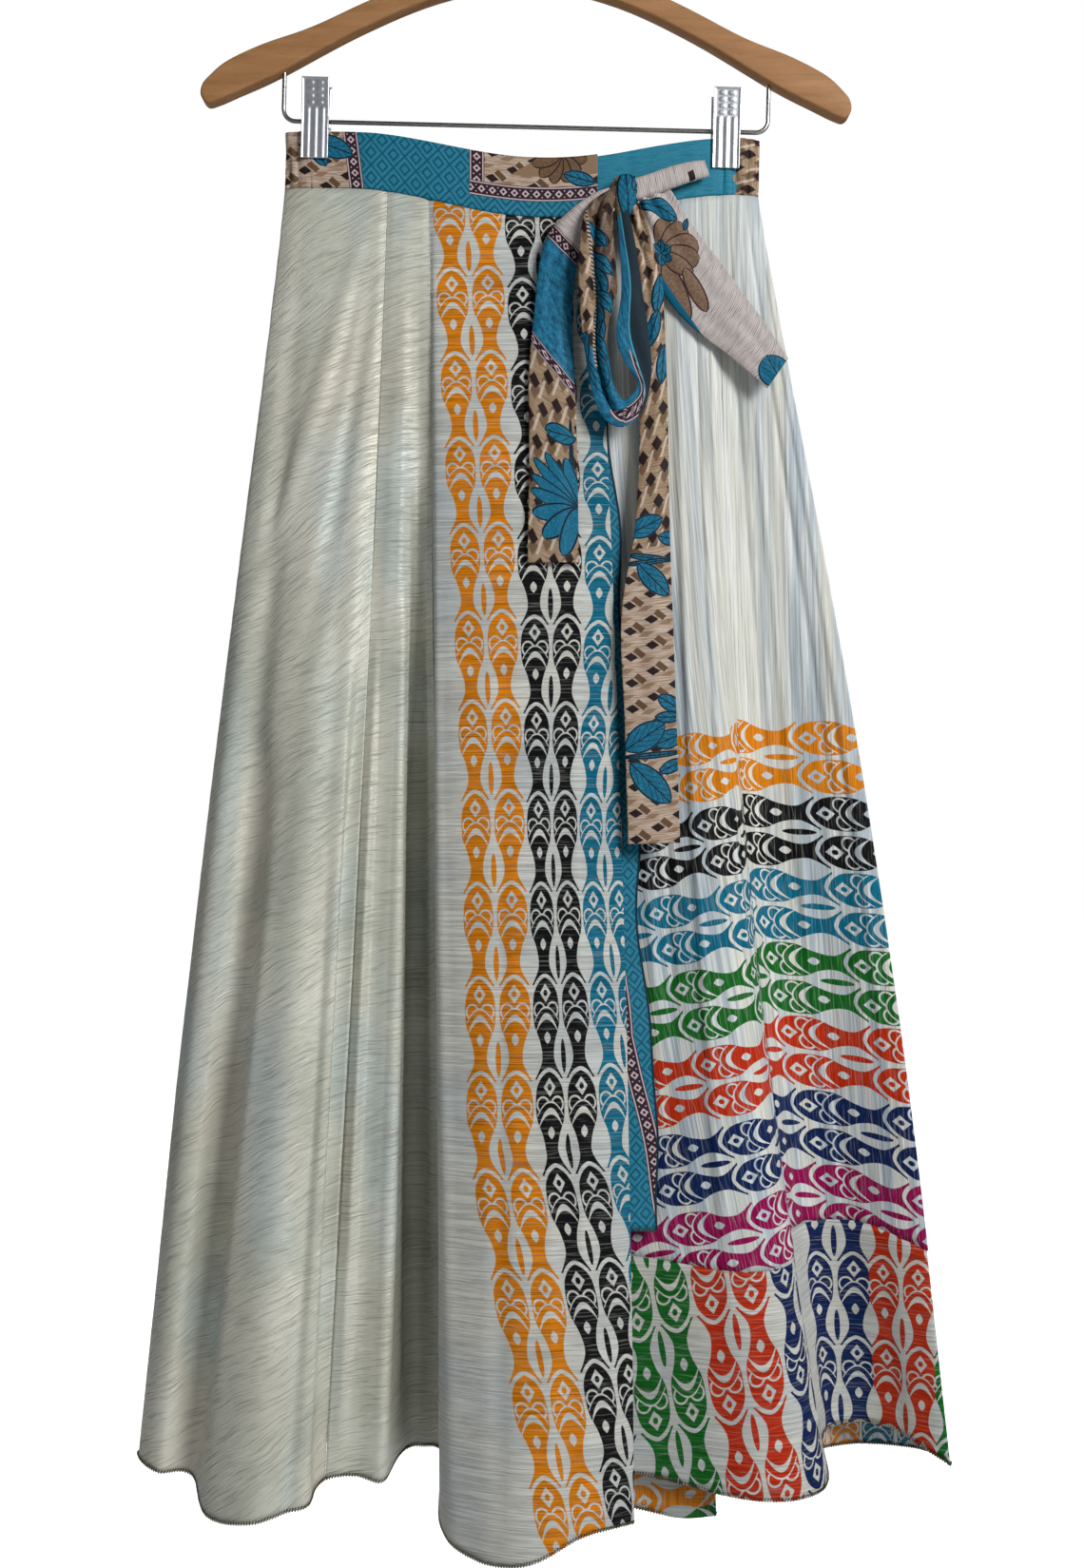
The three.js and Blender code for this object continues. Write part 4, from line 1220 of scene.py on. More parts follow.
# One row for each length of the band: the fold rows it runs between, its print, its cut length
# and width in metres, and the side of the clips that it hangs from.
BANDS = [
    ("waistband_front", "wrap_edge", "back_1", band_front_colour, (0.224, 0.040), "front"),
    ("waistband_back", "back_1", "back_12", band_back_colour, (0.309, 0.040), "back"),
    ("waistband_under", "back_12", "lap_end", band_side_colour, (0.190, 0.040), "back"),
]
BAND_PER_ROW, BAND_DOWN = 16, 22  # cells from one fold row to the next, and down the band
for name, start, end, colour_of, flat, side in BANDS:
    across = (ROW_OF[start], ROW_OF[end])
    cells = ((across[1] - across[0]) * BAND_PER_ROW, BAND_DOWN)
    cloth = lay_cloth(
        name + "_cloth", band_point, across, (1, 0), cells, BAND_CLOTH, band_gathers,
        seams=(False, False), level=None,
    )
    dress(cloth, printed_cotton(name + "_print", colour_of), [name])

# ------------------------------------------------------------------ the overlocked hems
# Every lower edge of the wrap and of the flaps inside it is finished with an overlock: olive
# thread that loops round the raw edge, a stitch every two millimetres.
THREAD, LOOP_DEEP, LOOP_OUT, STITCH = 0.55 * MM, 2.8 * MM, 1.1 * MM, 1.9 * MM


def own_grain(tree, size, detail, rough=0.5):
    """Random variation through the whole piece, in patches of about size, in metres."""
    return grain(tree, put(tree, "TexCoord").outputs["Object"], size, detail, rough)


def thread_colour(tree):
    shade = own_grain(tree, 0.0016, 3.0)
    return blend(tree, srgb(70, 60, 44), srgb(122, 108, 82), (shade - 0.3) * 2.5 & 1.0)


def thread_twist(tree):
    return own_grain(tree, 0.0005, 2.0)


overlock_thread = finish_shader(
    "overlock_thread", thread_colour, thread_twist, 0.7, 0.0002, Specular_IOR_Level=0.3
)


def tube_along(name, route, radius, rounding, finish, nodes=()):
    """A thread or wire along a route, as a tube mesh."""
    curve = bpy.data.curves.new(name, "CURVE")
    curve.dimensions = "3D"
    curve.bevel_depth = radius
    curve.bevel_resolution = rounding
    curve.use_fill_caps = True
    line = curve.splines.new("POLY")
    line.points.add(len(route) - 1)
    for point, place in zip(line.points, route):
        point.co = (*place, 1)
    holder = bpy.data.objects.new(name, curve)
    mesh = bpy.data.meshes.new_from_object(holder)
    bpy.data.objects.remove(holder)
    bpy.data.curves.remove(curve)
    for face in mesh.polygons:
        face.use_smooth = True
    mesh.name = name
    tube = bpy.data.objects.new(name, mesh)
    scene.collection.objects.link(tube)
    dress(tube, finish, nodes)
    return tube


# One stitch: how far in from the edge and out from the cloth each of its four points lies, as
# shares of the loop: over the front, round the rim and under the back.
STITCH_POINTS = [(0.75, 1.0), (0.0, 1.0), (0.75, -1.0), (-0.16, 0.0)]
EDGE_STEP = 0.004  # as a share of the cloth's length, for the way into the cloth


def hem_route(point, start, end, per_row):
    """Points of a thread that loops round and round the lower edge of a cloth."""
    count = round(abs(end - start) * per_row)
    rows = [mix(start, end, i / count) for i in range(count + 1)]
    edge = [point(s, 1.0) for s in rows]
    inner = [point(s, 1.0 - EDGE_STEP) for s in rows]
    length = [0.0]
    for a, b in zip(edge, edge[1:]):
        length.append(length[-1] + (b - a).length)
    turns = int(length[-1] / STITCH) * len(STITCH_POINTS)
    route = []
    k = 0
    for turn in range(turns):
        want = length[-1] * turn / turns
        while length[k + 1] < want:
            k += 1
        share = (want - length[k]) / (length[k + 1] - length[k])
        at = edge[k].lerp(edge[k + 1], share)
        inward = (inner[k].lerp(inner[k + 1], share) - at).normalized()
        out = (edge[k + 1] - edge[k]).cross(inward).normalized()
        into, off = STITCH_POINTS[turn % len(STITCH_POINTS)]
        wobble = noise.noise(at * 420) * 0.25 * MM
        route.append(at + inward * (into * LOOP_DEEP + wobble) + out * off * LOOP_OUT)
    return route


def creased_point(s, v):
    """The wrap's surface with its small creases, for the threads along its hem."""
    side = skirt_point(s + 1e-3, v) - skirt_point(s - 1e-3, v)
    fall = skirt_point(s, v + 1e-3) - skirt_point(s, v - 1e-3)
    return skirt_point(s, v) + side.cross(fall).normalized() * crease_at(s, v) * MM


# One row for each piece of the wrap: the thread along its edge, what it hangs from, and what it
# was cut to: its widest width and its length, and its flat area. A gore is cut narrower at the
# top, and the two gores that end in a hem band have no thread.
CUTS = [
    ("border_panel", "hem_thread_flap", "waistband_front", (0.206, 0.894), 0.1308),
    ("front_gore", "hem_thread_front", "waistband_front", (0.112, 0.869), 0.0710),
    ("side_gore", "hem_thread_side", "waistband_front", (0.214, 0.890), 0.1331),
    ("back_left_gore", "hem_thread_back_left", "waistband_back", (0.148, 0.881), 0.1021),
    ("back_middle_gore", "hem_thread_back_middle", "waistband_back", (0.238, 0.876), 0.1541),
    ("back_right_gore", "hem_thread_back_right", "waistband_back", (0.206, 0.883), 0.1338),
    ("right_gore", None, "waistband_under", (0.146, 0.729), 0.0694),
    ("right_hem_band", "hem_thread_right", "right_gore", (0.159, 0.166), 0.0212),
    ("under_gore", None, "waistband_under", (0.240, 0.721), 0.1307),
    ("under_hem_band", "hem_thread_under", "under_gore", (0.272, 0.164), 0.0364),
    ("inner_panel", "hem_thread_inner", "waistband_under", (0.056, 0.689), 0.0288),
    ("under_inner_panel", "hem_thread_inner_fish", "waistband_under", (0.060, 0.890), 0.0446),
]
for name, thread, hangs_from, flat, area in CUTS:
    cloth, point, across = panels[name]
    if thread:
        on_wrap = point is skirt_point
        route = hem_route(creased_point if on_wrap else point, *across, 24 if on_wrap else 12)
        tube_along(thread, route, THREAD, 0, overlock_thread)

# ------------------------------------------------------------------ the bow
# Two ties of the band's print, sewn double, come out of the band at the wrap's edge and are tied
# in a bow: two tails, a teardrop loop on the left, and a rolled and a flat loop on the right.
TIE_CLOTH = 1.3 * MM
# Stations down each tail: x, z, y, the width and how far its middle stands proud.
LEFT_TAIL = [
    (55, -246, -20, 12, 2), (33, -266, -20, 23, 3), (19, -284, -18, 24, 3),
    (14, -325, -17, 25, 2), (13, -364, -19, 30, 2), (14, -422, -23, 32, 1),
    (14, -493, -28, 34, 1),
]
RIGHT_TAIL = [
    (66, -252, -17, 12, 1), (78, -295, -17, 15, 2), (80, -327, -18, 16, 2),
    (81, -371, -20, 18, 2), (81, -416, -22, 19, 2), (80, -470, -26, 23, 1),
    (76, -530, -32, 34, 1), (78, -600, -37, 34, 1), (80, -679, -42, 34, 1),
]
# The flat loop's upper and lower edge, from the knot to its tip: x, z, y.
FLAT_UPPER = [
    (79, -234, -14), (90, -238, -13), (108, -264, -12), (131, -295, -12.5), (154, -327, -13.5),
    (172, -354, -14),
]
FLAT_LOWER = [
    (67, -244, -14), (76, -277, -13), (85, -304, -12), (106, -331, -12.5), (135, -354, -13.5),
    (158, -374, -14),
]
# The loop's outer and inner edge, from the knot round its bottom and back: x, z, y.
LOOP_OUTER = [
    (55, -243, -23), (39, -254, -27), (33, -272, -31), (31, -298, -33), (32, -328, -33),
    (36, -360, -32), (41, -384, -31), (48, -398, -31), (58, -403, -30), (68, -399, -29),
    (76, -386, -28), (79, -366, -27), (77, -338, -26), (72, -304, -24), (67, -272, -22),
    (62, -250, -20),
]
LOOP_INNER = [
    (56, -238, -24), (54, -256, -29), (55, -270, -31), (57, -294, -32), (58, -316, -32),
    (52, -341, -31), (54, -363, -30), (58, -378, -29), (62, -384, -28), (68, -380, -28),
    (70, -372, -27), (61, -358, -26), (56, -341, -25), (60, -308, -23), (58, -273, -21),
    (56, -248, -19),
]
# The rolled loop is a squashed tube: x, z, y, how tall and how thick. Its edges meet on top.
ROLL = [
    (64, -243, -16, 12, 8), (89, -234, -15, 13, 9), (105, -229, -14, 12, 8),
    (117, -226, -13, 10, 6),
]


def across_bulge(s, power):
    """1 in the middle of a ribbon and 0 at its edges, rounder for a smaller power."""
    return math.sin(math.pi * min(max(s, 0), 1)) ** power


def edge_place(edge, at):
    """A place on an edge that is listed as x, z, y."""
    return Vector([along(edge, i, at) for i in (0, 2, 1)])


def tail_point(stations):
    """A ribbon through its stations; s is 0 at its left edge."""

    def point(s, v):
        last = len(stations) - 1
        at = v * last
        x, z, y, wide, proud = (along(stations, column, at) for column in range(5))
        before, after = max(at - 0.05, 0), min(at + 0.05, last)
        run = Vector([along(stations, i, after) - along(stations, i, before) for i in (0, 1)])
        run = run.normalized()
        off = (s - 0.5) * wide
        forward = proud * across_bulge(s, 0.8)
        return Vector((x - run.y * off, y - forward, z + run.x * off)) * MM

    return point


def loop_point(s, v):
    """The teardrop loop; s is 0 at its inner edge, and it puffs out most in front."""
    at = v * (len(LOOP_OUTER) - 1)
    puff = 3.2 * across_bulge(s, 0.7) * math.sin(math.pi * v) ** 0.5
    place = edge_place(LOOP_OUTER, at).lerp(edge_place(LOOP_INNER, at), 1 - s)
    place.y -= puff if v < 0.55 else puff * 0.3
    return place * MM


def flat_point(s, v):
    """The flat loop, bulging forward a little; s is 1 at its upper edge."""
    at = v * (len(FLAT_UPPER) - 1)
    place = edge_place(FLAT_LOWER, at).lerp(edge_place(FLAT_UPPER, at), s)
    place.y -= 2 * across_bulge(s, 0.8)
    return place * MM


def roll_point(s, v):
    """The rolled loop; s runs once round it and v along it from the knot."""
    at = v * (len(ROLL) - 1)
    x, z, y, tall, thick = (along(ROLL, column, at) for column in range(5))
    run = Vector((ROLL[-1][0] - ROLL[0][0], 0, ROLL[-1][1] - ROLL[0][1])).normalized()
    up = Vector((-run.z, 0, run.x))
    turn = math.pi * 2 * s
    place = Vector((x, y, z)) + up * tall / 2 * math.cos(turn)
    return (place + Vector((0, 1, 0)) * thick / 2 * math.sin(turn)) * MM


def fan_of(pleats, reach, depth, settle=0.35):
    """Gathers that fan out of the knot and fade, and soft dents all along."""

    def relief(s, v, wide, deep):
        fade = math.exp(-deep / reach) + settle
        drift = noise.noise(Vector((deep * 30, 1.0, 4.0)))
        pleat = math.sin(math.pi * 2 * pleats * s + 1.2 * drift)
        dent = noise.noise(Vector((wide * 60, deep * 22, pleats)))
        return (depth * pleat * min(fade, 1) + 0.9 * dent) * MM * min(1, deep / (6 * MM))

    return relief


# How the loop's front is folded along: a deep valley and an inner ridge, each as its place and
# half width in shares of the ribbon from its inner edge, and how far out it stands. The inner
# edge is tucked back as well.
LOOP_FOLDS = [(0.60, 0.11, -5.5), (0.34, 0.12, 1.8)]
EDGE_TUCK, TUCK_WIDE = 4.0, 0.22
LOOP_FRONT = 0.56  # the share of its length that is in front


def loop_fold(s, v, wide, deep):
    """The folds along the loop's front, and soft dents all round it."""
    front = max(0, min(1, (LOOP_FRONT - v) * 10)) * min(1, v * 8)
    fold = sum(depth * math.exp(-(((s - at) / half) ** 2)) for at, half, depth in LOOP_FOLDS)
    fold -= EDGE_TUCK * max(0, 1 - s / TUCK_WIDE)
    dent = noise.noise(Vector((wide * 80, deep * 26, 3.0)))
    return (fold * front + 1.2 * dent) * MM * min(1, v * 12, (1 - v) * 12)


# The ties' print: trellis on tan, teal cloth, striped cloth, borders, leaves and flowers. Each
# leaf or petal is a row: its root, angle, length and width, in millimetres and degrees.
STRIPE, STRIPE_DARK = srgb(184, 176, 172), srgb(104, 94, 96)
# The last of these is painted shade: the dark of the loop's inside, where it lies in shadow.
BROWN_PETAL, PETAL_LINE, SHADED_INSIDE = srgb(104, 82, 64), srgb(40, 18, 24), srgb(26, 42, 52)
LEFT_TAIL_LEAVES = [(4, 160, 90, 62, 2), (1, 170, 18, 21, 12)]
LEFT_TAIL_PETALS = [
    (0.5, 218, -77, 31, 9.5), (0.5, 218, -52, 33, 9.5), (0.5, 218, -31, 33, 9.5),
    (0.5, 218, -9, 30, 9.5), (0.5, 218, 11, 31, 9.5), (0.5, 218, 35, 36, 9.5),
    (0.5, 218, 54, 39, 9.5), (0.5, 218, 74, 38, 9.5),
]
RIGHT_TAIL_LEAVES = [
    (1, 50, 80, 26, 8), (4, 74, 70, 26, 9), (1, 98, 82, 26, 8), (-8, 232, -20, 17, 9),
    (30, 236, 165, 32, 4), (28, 222, -161, 24, 14), (34, 243, 180, 38, 3), (22, 243, 129, 31, 13),
    (-3, 344, -36, 18, 9), (-3, 349, -7, 17, 7), (-4, 360, 15, 19, 12), (34, 367, -150, 30, 17),
    (36, 372, 180, 40, 3.4), (-4, 378, 18, 17, 8), (31, 376, 132, 38, 16),
]
LOOP_LEAVES = [
    (17, 34, 118, 17, 8), (17, 52, 125, 19, 8), (16, 62, 100, 20, 9), (17, 78, 130, 18, 8),
    (16, 86, 95, 24, 9), (11, 98, 80, 22, 8), (17, 106, 120, 20, 9), (24, 108, 75, 30, 10),
    (14, 118, 95, 24, 10), (26, 128, 120, 26, 9),
]
FLAT_PETALS = [
    (36, 48, 66, 20, 9), (33, 50, 76, 46, 14), (31, 47, -122, 25, 17), (31, 47, -160, 27, 19),
    (31, 47, 168, 27, 19), (31, 47, 143, 25, 17), (31, 47, 115, 23, 12), (24, 62, 81, 33, 10),
]
FLAT_HEART = [(33, 45, angle, 9, 6) for angle in range(0, 360, 60)]
FLAT_LEAVES = [(20, 8, 115, 27, 12), (1, 38, 20, 8, 4), (15, 170, -95, 28, 22)]
KNOT_LEAVES = [(4, -18, 95, 36, 13), (7, 2, 70, 15, 7)]


def striped(tree, x, y, degrees, pitch=1.35):
    run, side = turned(x, y, degrees)
    drift = grain(tree, join_vector(tree, run * 0.05, side * 0.8, 5.0), 1.0, 2.0)
    line = abs(((side + drift * 1.4) / pitch) % 1.0 - 0.5) * 2.0
    broken = grain(tree, join_vector(tree, run * 0.12, side * 1.2, 9.0), 1.0, 2.0)
    dark = ((line - 0.55) * 4.0 & 1.0 | 0.0) * ((broken - 0.3) * 3.0 & 1.0)
    return blend(tree, STRIPE, STRIPE_DARK, dark)


def mottled_teal(tree, x, y):
    cloud = grain(tree, join_vector(tree, x * 0.30, y * 0.22, 2.0), 1.0, 4.0, 0.7)
    colour = blend(tree, TEAL_DARK, srgb(44, 132, 170), (cloud - 0.34) * 3.0 & 1.0)
    return blend(tree, colour, LEAF_DARK, lattice_of(tree, x, y, 6.0) * 0.16)


def left_tail_colour(tree):
    """From the top: striped cloth, a border, teal, a slanting border, and the trellis."""
    x, y = cut_place(tree)
    colour = tall_trellis(tree, -x, y)
    colour = leaves_on(tree, colour, x, y, LEFT_TAIL_LEAVES)
    colour = leaves_on(tree, colour, x, y, LEFT_TAIL_PETALS, pattern=petal_stencil)
    teal_part = y < 138.0 - x * 0.6
    colour = blend(tree, colour, mottled_teal(tree, x, y), teal_part)
    colour = border_on(tree, colour, x, y - 137.0 + x * 0.6, 5.0)
    colour = blend(tree, colour, striped(tree, x, y, 8.0), y < 44.0)
    return border_on(tree, colour, x, y - 48.0, 4.6)


def right_tail_colour(tree):
    """The taller trellis on the upper half and the flat one below it, with leaves."""
    x, y = cut_place(tree)
    lower, upper = trellis(tree, -x, y), tall_trellis(tree, x * -1.0, y * 1.05)
    return leaves_on(tree, blend(tree, lower, upper, y < 233.0), x, y, RIGHT_TAIL_LEAVES)


# Along the loop from the knot: where its stitched fold ends, where its border lies, where its inside
# begins, painted dark as its shade, and where the teal line beside that has slanted out to the edge.
FOLD_END, LOOP_BORDER, SHADED_INSIDE_FROM, LINE_ENDS = 130.0, (160.0, 205.0), 192.0, 320.0
FOLD_LINE, STITCH_PITCH = 18.5, 2.6


def loop_colour(tree):
    """x is from the loop's inner edge, y from the knot, round the bottom and back up behind."""
    x, y = cut_place(tree)
    colour = tall_trellis(tree, x * -1.1, y * 1.1)
    # Painted shade: the loop's inner side, which turns away from the light, is darkened.
    colour = blend(tree, colour, UMBER, (x < 17.0) * 0.6)
    colour = blend(tree, colour, mottled_teal(tree, x, y), (y > 118.0) & (x < 26.0))
    colour = leaves_on(tree, colour, x, y, LOOP_LEAVES)
    on_border = (y > LOOP_BORDER[0]) & (y < LOOP_BORDER[1])
    colour = border_on(tree, colour, y, x - 12.0, 6.0, on_border)
    line = x + ((y - LINE_ENDS) & 0.0) * 0.09
    # Painted shade: the loop's inside, in shadow, is painted dark.
    colour = blend(tree, colour, SHADED_INSIDE, (line > 0.0) & (y > SHADED_INSIDE_FROM))
    colour = blend(tree, colour, TEAL_LIGHT, (abs(line) < 0.6) & (y > SHADED_INSIDE_FROM))
    # The dark line along the fold is painted shade in its crease; the pale stitches on it are thread.
    fold = (abs(x - FOLD_LINE) < 0.8) & (y < FOLD_END)
    colour = blend(tree, colour, UMBER, fold)
    stitch = abs((y / STITCH_PITCH) % 1.0 - 0.5) < 0.2
    return blend(tree, colour, TAN_PALE, fold & stitch)


def right_flat_colour(tree):
    """Striped cloth with a brown flower; x is from the upper edge, y along it from the knot."""
    x, y = cut_place(tree)
    colour = striped(tree, x, y, 24.0)
    colour = leaves_on(tree, colour, x, y, FLAT_PETALS, BROWN_PETAL, PETAL_LINE, petal_stencil)
    colour = leaves_on(tree, colour, x, y, FLAT_HEART + FLAT_LEAVES)
    return blend(tree, colour, LEAF_BLUE, (x > 41.0) & (y > 58.0) & (y < 120.0))


def roll_colour(tree):
    x, y = cut_place(tree)
    colour = striped(tree, x, y, 6.0)
    return blend(tree, colour, UMBER, (abs(y - 44.0) < 2.2) & (abs(x - 20.0) < 3.0))


def tie(name, nodes, point, across, cells, colour_of, relief):
    """One length of the ties: its cloth and print, in the place of the nodes it stands for."""
    cloth = lay_cloth(
        name + "_cloth", point, across, (0, 1), cells, TIE_CLOTH, relief,
        seams=(False, False), level=None,
    )
    dress(cloth, printed_cotton(name + "_print", colour_of), nodes)
    return cloth


left_tail = tie(
    "left_tail", ["left_tail"], tail_point(LEFT_TAIL), (1, 0), (44, 220), left_tail_colour,
    fan_of(2, 26 * MM, 2.0, 0.12),
)
right_tail = tie(
    "right_tail", ["right_tail"], tail_point(RIGHT_TAIL), (1, 0), (44, 320), right_tail_colour,
    fan_of(2, 40 * MM, 1.8, 0.1),
)
left_loop = tie(
    "left_loop", ["left_loop_front", "left_loop_back"], loop_point, (0, 1), (48, 260),
    loop_colour, loop_fold,
)
right_flat = tie(
    "right_loop_flat", ["right_loop_flat"], flat_point, (1, 0), (50, 160), right_flat_colour,
    fan_of(3, 30 * MM, 1.6, 0.15),
)
right_roll = tie(
    "right_loop_roll", ["right_loop_roll"], roll_point, (0, 1), (56, 90), roll_colour,
    fan_of(3, 24 * MM, 0.8, 0.3),
)

# The knot: a lump of the ribbon, wrapped once round, its folds running up and down.
KNOT_AT, KNOT_HALF, KNOT_LEAN = Vector((61, -16, -246)), Vector((10.5, 9.5, 17)), 0.12
# Its folds: how far round each lies, as quarter turns from the front, its half width and depth.
WRAPS = [(-0.55, 0.20, -1.5), (-0.1, 0.14, -0.8), (0.42, 0.16, -1.4), (0.75, 0.1, -0.7)]


def knot_colour(tree):
    parts = put(tree, "SeparateXYZ", put(tree, "TexCoord").outputs["Object"])
    x = Field(tree, parts.outputs[0]) * 1000.0 - KNOT_AT.x
    z = Field(tree, parts.outputs[2]) * 1000.0 - KNOT_AT.z
    colour = blend(tree, TAN, TAN_DARK, lattice_of(tree, x, z, 7.0))
    colour = blend(tree, colour, mottled_teal(tree, x, z), x > 4.0)
    return leaves_on(tree, colour, x, z, KNOT_LEAVES)


def knot_threads(tree):
    return own_grain(tree, 0.0008, 3.0)


bm = bmesh.new()
bmesh.ops.create_uvsphere(bm, u_segments=96, v_segments=64, radius=1)
for vert in bm.verts:
    turn = math.atan2(vert.co.x, -vert.co.y) / (math.pi / 2)
    groove = sum(depth * math.exp(-(((turn - at) / half) ** 2)) for at, half, depth in WRAPS)
    rumple = noise.noise(Vector((turn * 3, vert.co.z * 1.2, 2.0))) * 0.9
    size = 1 + (groove + rumple) / 11
    square = 1 - 0.12 * abs(vert.co.z) ** 6  # squares off its top and bottom
    place = Vector((
        vert.co.x * KNOT_HALF.x, vert.co.y * KNOT_HALF.y, vert.co.z * KNOT_HALF.z * square,
    )) * size
    place.x += place.z * KNOT_LEAN
    vert.co = (place + KNOT_AT) * MM
knot = shaped(bm, "bow_knot_cloth")
dress(knot, printed_cotton("knot_print", knot_colour, knot_threads), ["bow_knot"])

# What each length of the ties was cut to where it shows: its widest width and its length, its
# flat area and how it is held. The knot goes with the right tail, which is wound round it.
TIE_CUTS = [
    (left_tail, (0.034, 0.274), 0.0076, "hung", []),
    (right_tail, (0.035, 0.432), 0.0110, "hung", [knot]),
    (left_loop, (0.030, 0.344), 0.0065, "folded", []),
    (right_flat, (0.047, 0.165), 0.0056, "folded", []),
    (right_roll, (0.035, 0.056), 0.0018, "folded", []),
]
for cloth, flat, area, held, wound in TIE_CUTS:
    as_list(wound)

# ------------------------------------------------------------------ the hanger
# Two curved arms of beech with rounded edges, a steel hook screwed in between them and a steel
# bar below that runs from arm to arm. It hangs a little lower on the right.
TILT = Matrix.Rotation(math.radians(1.42), 4, "Y")
# The arm's side view, x and z from the hook's place: its upper edge, its tip and its lower edge.
ARM_UPPER = [
    (0, -66), (-40, -82), (-103, -109.5), (-146, -130.5), (-179, -143), (-203, -155),
    (-215.5, -166),
]
ARM_TIP = [(-219.8, -172), (-220.4, -178.6), (-216.2, -183.8), (-208.5, -181.8)]
ARM_LOWER = [(-196, -176), (-168, -162.5), (-113, -131.5), (-61, -108.5), (0, -93)]
ARM_DEEP, ARM_EDGE = 13, 1.8
ARM_JOINT = 0.15  # how far each arm runs past the middle, where the two are glued


def curve_through(points, steps):
    """Points of a smooth line through the given ones."""
    count = (len(points) - 1) * steps
    places = [k / steps for k in range(count + 1)]
    return [[along(points, i, at) for i in range(len(points[0]))] for at in places]


def tilted(x, y, z):
    """A place on the hanger, in millimetres before its tilt, where the scene has it."""
    return TILT @ (Vector((x, y, z)) * MM)


def wood_colour(tree):
    """Beech: soft bands and fine pores, drawn out along the arms."""
    place = put(tree, "TexCoord").outputs["Object"]
    stretch = put(tree, "Mapping")
    join(tree, place, stretch.inputs["Vector"])
    stretch.inputs["Rotation"].default_value = (0, math.radians(24), 0)
    stretch.inputs["Scale"].default_value = (0.10, 1.0, 1.0)
    bands = grain(tree, stretch.outputs[0], 0.006, 4.0, 0.6)
    pores = grain(tree, stretch.outputs[0], 0.0007, 2.0)
    colour = blend(tree, srgb(164, 120, 78), srgb(138, 96, 58), (bands - 0.3) * 2.2 & 1.0)
    return blend(tree, colour, srgb(112, 76, 42), pores.rise(0.6, 3.0, 0.5))


def wood_relief(tree):
    return own_grain(tree, 0.002, 3.0)


def wood_rough(tree):
    return own_grain(tree, 0.012, 3.0) * 0.16 + 0.52


beech = finish_shader(
    "beech", wood_colour, wood_relief, wood_rough, 0.00003, Specular_IOR_Level=0.3
)
outline = curve_through(ARM_UPPER + ARM_TIP + ARM_LOWER, 6)
for name, side in (("hanger_arm_left", 1), ("hanger_arm_right", -1)):
    bm = bmesh.new()
    front = [bm.verts.new((side * x * MM, -ARM_DEEP / 2 * MM, z * MM)) for x, z in outline]
    sweep = bmesh.ops.extrude_face_region(bm, geom=[bm.faces.new(front)])
    moved = [item for item in sweep["geom"] if isinstance(item, bmesh.types.BMVert)]
    bmesh.ops.translate(bm, verts=moved, vec=(0, ARM_DEEP * MM, 0))
    at_joint = [vert for vert in bm.verts if abs(vert.co.x) < ARM_JOINT * MM]
    for vert in at_joint:
        vert.co.x = -side * ARM_JOINT * MM
    bmesh.ops.recalc_face_normals(bm, faces=bm.faces)
    rounded = [
        edge for edge in bm.edges
        if abs(edge.verts[0].co.y - edge.verts[1].co.y) < 1e-6
        and not all(vert in at_joint for vert in edge.verts)
    ]
    bmesh.ops.bevel(
        bm, geom=rounded, offset=ARM_EDGE * MM, segments=4, profile=0.5, affect="EDGES", material=-1
    )
    bmesh.ops.transform(bm, matrix=TILT, verts=bm.verts)
    arm = shaped(bm, name + "_wood")
    arm.data.set_sharp_from_angle(angle=math.radians(35))
    dress(arm, beech, [name])


def worn_metal(name, tone, dull_tone, rough, metallic):
    """Bright metal that handling has dulled in small patches, with faint polishing marks."""

    def smudges(tree):
        return own_grain(tree, 0.006, 4.0, 0.6).rise(0.42, 5.0)

    def colour_of(tree):
        return blend(tree, tone, dull_tone, smudges(tree) * 0.6)

    def rough_of(tree):
        return smudges(tree) * 0.10 + rough

    def marks_of(tree):
        return own_grain(tree, 0.0006, 3.0)

    return finish_shader(name, colour_of, marks_of, rough_of, 0.00001, Metallic=metallic)


wire_steel = worn_metal("wire_steel", srgb(174, 171, 166), srgb(146, 142, 136), 0.26, 1.0)
HOOK_RADIUS, HOOK_WIRE = 22, 3.8
BAR_WIRE, BAR_HALF, BAR_LEVEL, BAR_BEND, POST = 3, 164.7, -193, 8, 38
hook_turn = HOOK_RADIUS + HOOK_WIRE / 2
hook_route = [(0, -85), (0, -70), (1, -56)]  # its shank, from inside the wood
for angle in range(-50, 191, 20):
    turn = math.radians(angle)
    hook_route.append((hook_turn * math.cos(turn), -HOOK_RADIUS + hook_turn * math.sin(turn)))
hook_line = [tilted(x, 0, z) for x, z in curve_through(hook_route, 10)]
tube_along(
    "hanger_hook_wire", hook_line, HOOK_WIRE / 2 * MM, 6, wire_steel,
    ["hanger_hook"],
)

bend_x, bend_z = -BAR_HALF + BAR_BEND, BAR_LEVEL + BAR_BEND
bar_route = [(-BAR_HALF, BAR_LEVEL + POST), (-BAR_HALF, bend_z)]
for step in range(1, 9):
    turn = math.radians(180 + 90 * step / 9)
    bar_route.append((bend_x + BAR_BEND * math.cos(turn), bend_z + BAR_BEND * math.sin(turn)))
bar_route.append((bend_x, BAR_LEVEL))
bar_route += [(-x, z) for x, z in reversed(bar_route)]
bar_line = [tilted(x, 0, z) for x, z in bar_route]
tube_along(
    "hanger_bar_wire", bar_line, BAR_WIRE / 2 * MM, 6, wire_steel, ["hanger_bar"]
)

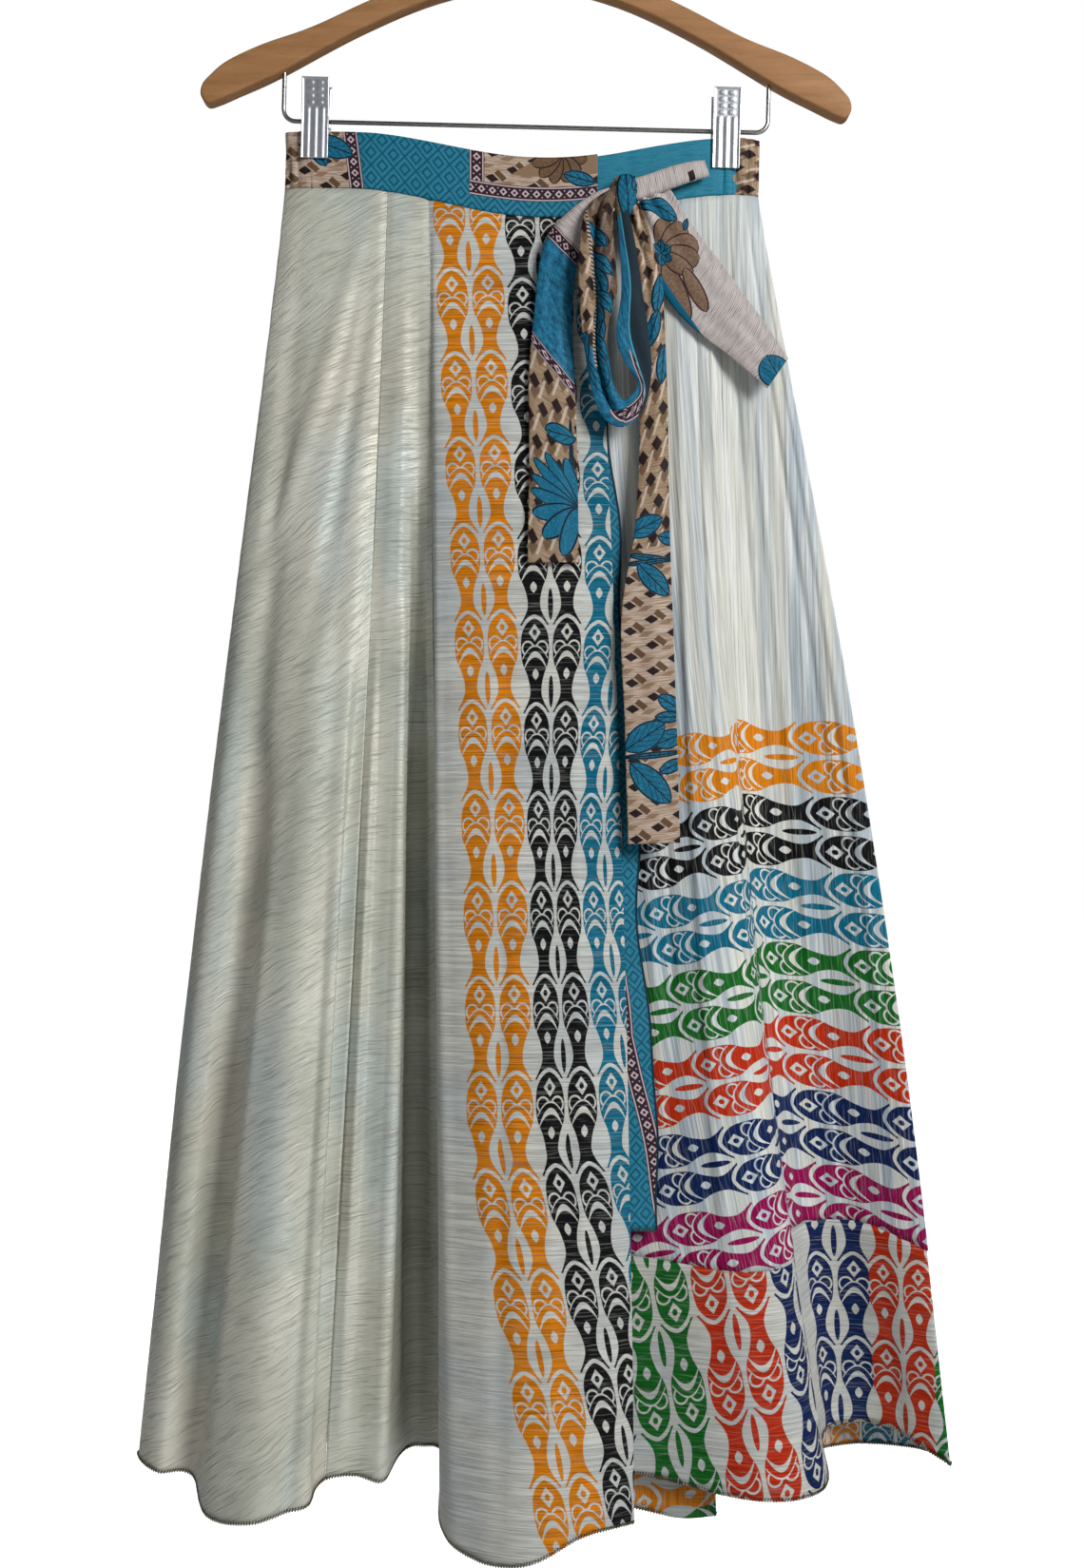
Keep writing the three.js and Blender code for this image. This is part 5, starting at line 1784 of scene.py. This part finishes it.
# ------------------------------------------------------------------ the clips
# Sprung clips of pressed, chromed steel on the bar: two leaves with raised rims, the front one
# also with two columns of grip pads above and long ribs below, and a coiled spring inside.
CLIP_WIDE, CLIP_PLATE, JAW_TOP = 18.4, 1.2, -5
LEAF_TOP, LEAF_CELLS = 27, (46, 128)  # a leaf ends as far above the bar as below it
LEAF_OUT, LEAF_FLARE = 6.6, 2.0  # how far out from the bar a leaf lies, and how much more on top
FLARE_FROM = -2
RIM_HALF, RIM_OUT, PAD_OUT, RIB_OUT = 1.8, 0.5, 0.32, 0.42
PAD_ROWS, PAD_COLUMNS, PAD_HALF = (23.2, 18.9, 14.6, 10.3), (-3.2, 3.2), (2.9, 1.9)
RIBS, RIB_HALF, RIB_TOP = (-5.0, 0.0, 5.0), 2.3, 8
# A leaf's side of the bar, and how far its jaw is shifted to close on the band.
LEAVES = [("front", -1, 0), ("back", 1, -1.2)]
COIL_TURNS, COIL_STEPS, COIL_HALF, COIL_RADIUS, COIL_WIRE = 7, 16, 6.2, 3.4, 0.8
chrome = worn_metal("clip_chrome", srgb(206, 209, 215), srgb(182, 185, 190), 0.34, 0.85)


def clip_relief(x, up, front):
    """How far the pressed plate stands out: a raised rim, grip pads and ribs."""
    rim = swell((CLIP_WIDE / 2 - abs(x)) / RIM_HALF) * RIM_OUT
    rim = max(rim, swell((LEAF_TOP - up) / RIM_HALF) * RIM_OUT)
    if not front:
        return rim
    for row in PAD_ROWS:
        for column in PAD_COLUMNS:
            pad = swell((x - column) / PAD_HALF[0]) * swell((up - row) / PAD_HALF[1])
            rim = max(rim, PAD_OUT * min(pad * 2, 1))
    if up < RIB_TOP:
        for rib in RIBS:
            rim = max(rim, RIB_OUT * swell((x - rib) / RIB_HALF) * min(1, (RIB_TOP - up) / 2))
    return rim


def leaf_out(up):
    """How far out from the bar a leaf lies at a height above it."""
    return LEAF_OUT + LEAF_FLARE * (max(up - FLARE_FROM, 0) / (LEAF_TOP - FLARE_FROM)) ** 1.5


for place, x_at in zip(("left", "right"), CLIP_AT):
    for part, side, shift in LEAVES:
        bm = bmesh.new()
        bmesh.ops.create_grid(bm, x_segments=LEAF_CELLS[0], y_segments=LEAF_CELLS[1], size=0.5)
        for vert in bm.verts:
            x, up = vert.co.x * CLIP_WIDE, vert.co.y * LEAF_TOP * 2
            out = leaf_out(up) + clip_relief(x, up, part == "front")
            y = side * out + (shift if up < JAW_TOP else 0)
            vert.co = tilted(x + x_at, y, up + BAR_LEVEL)
        bmesh.ops.recalc_face_normals(bm, faces=bm.faces)
        leaf = shaped(bm, f"clip_{place}_{part}_plate")
        wall = leaf.modifiers.new("thickness", "SOLIDIFY")
        wall.thickness = CLIP_PLATE * MM
        wall.offset = 0
        dress(leaf, chrome, [f"clip_{place}_{part}"])
    coil = []
    for step in range(COIL_TURNS * COIL_STEPS + 1):
        turn = math.pi * 2 * step / COIL_STEPS
        coil.append(tilted(
            x_at - COIL_HALF + 2 * COIL_HALF * step / (COIL_TURNS * COIL_STEPS),
            COIL_RADIUS * math.cos(turn),
            BAR_LEVEL + COIL_RADIUS * math.sin(turn),
        ))
    tube_along(
        f"clip_{place}_coil", coil, COIL_WIRE * MM, 2, wire_steel,
        [f"clip_{place}_spring"],
    )
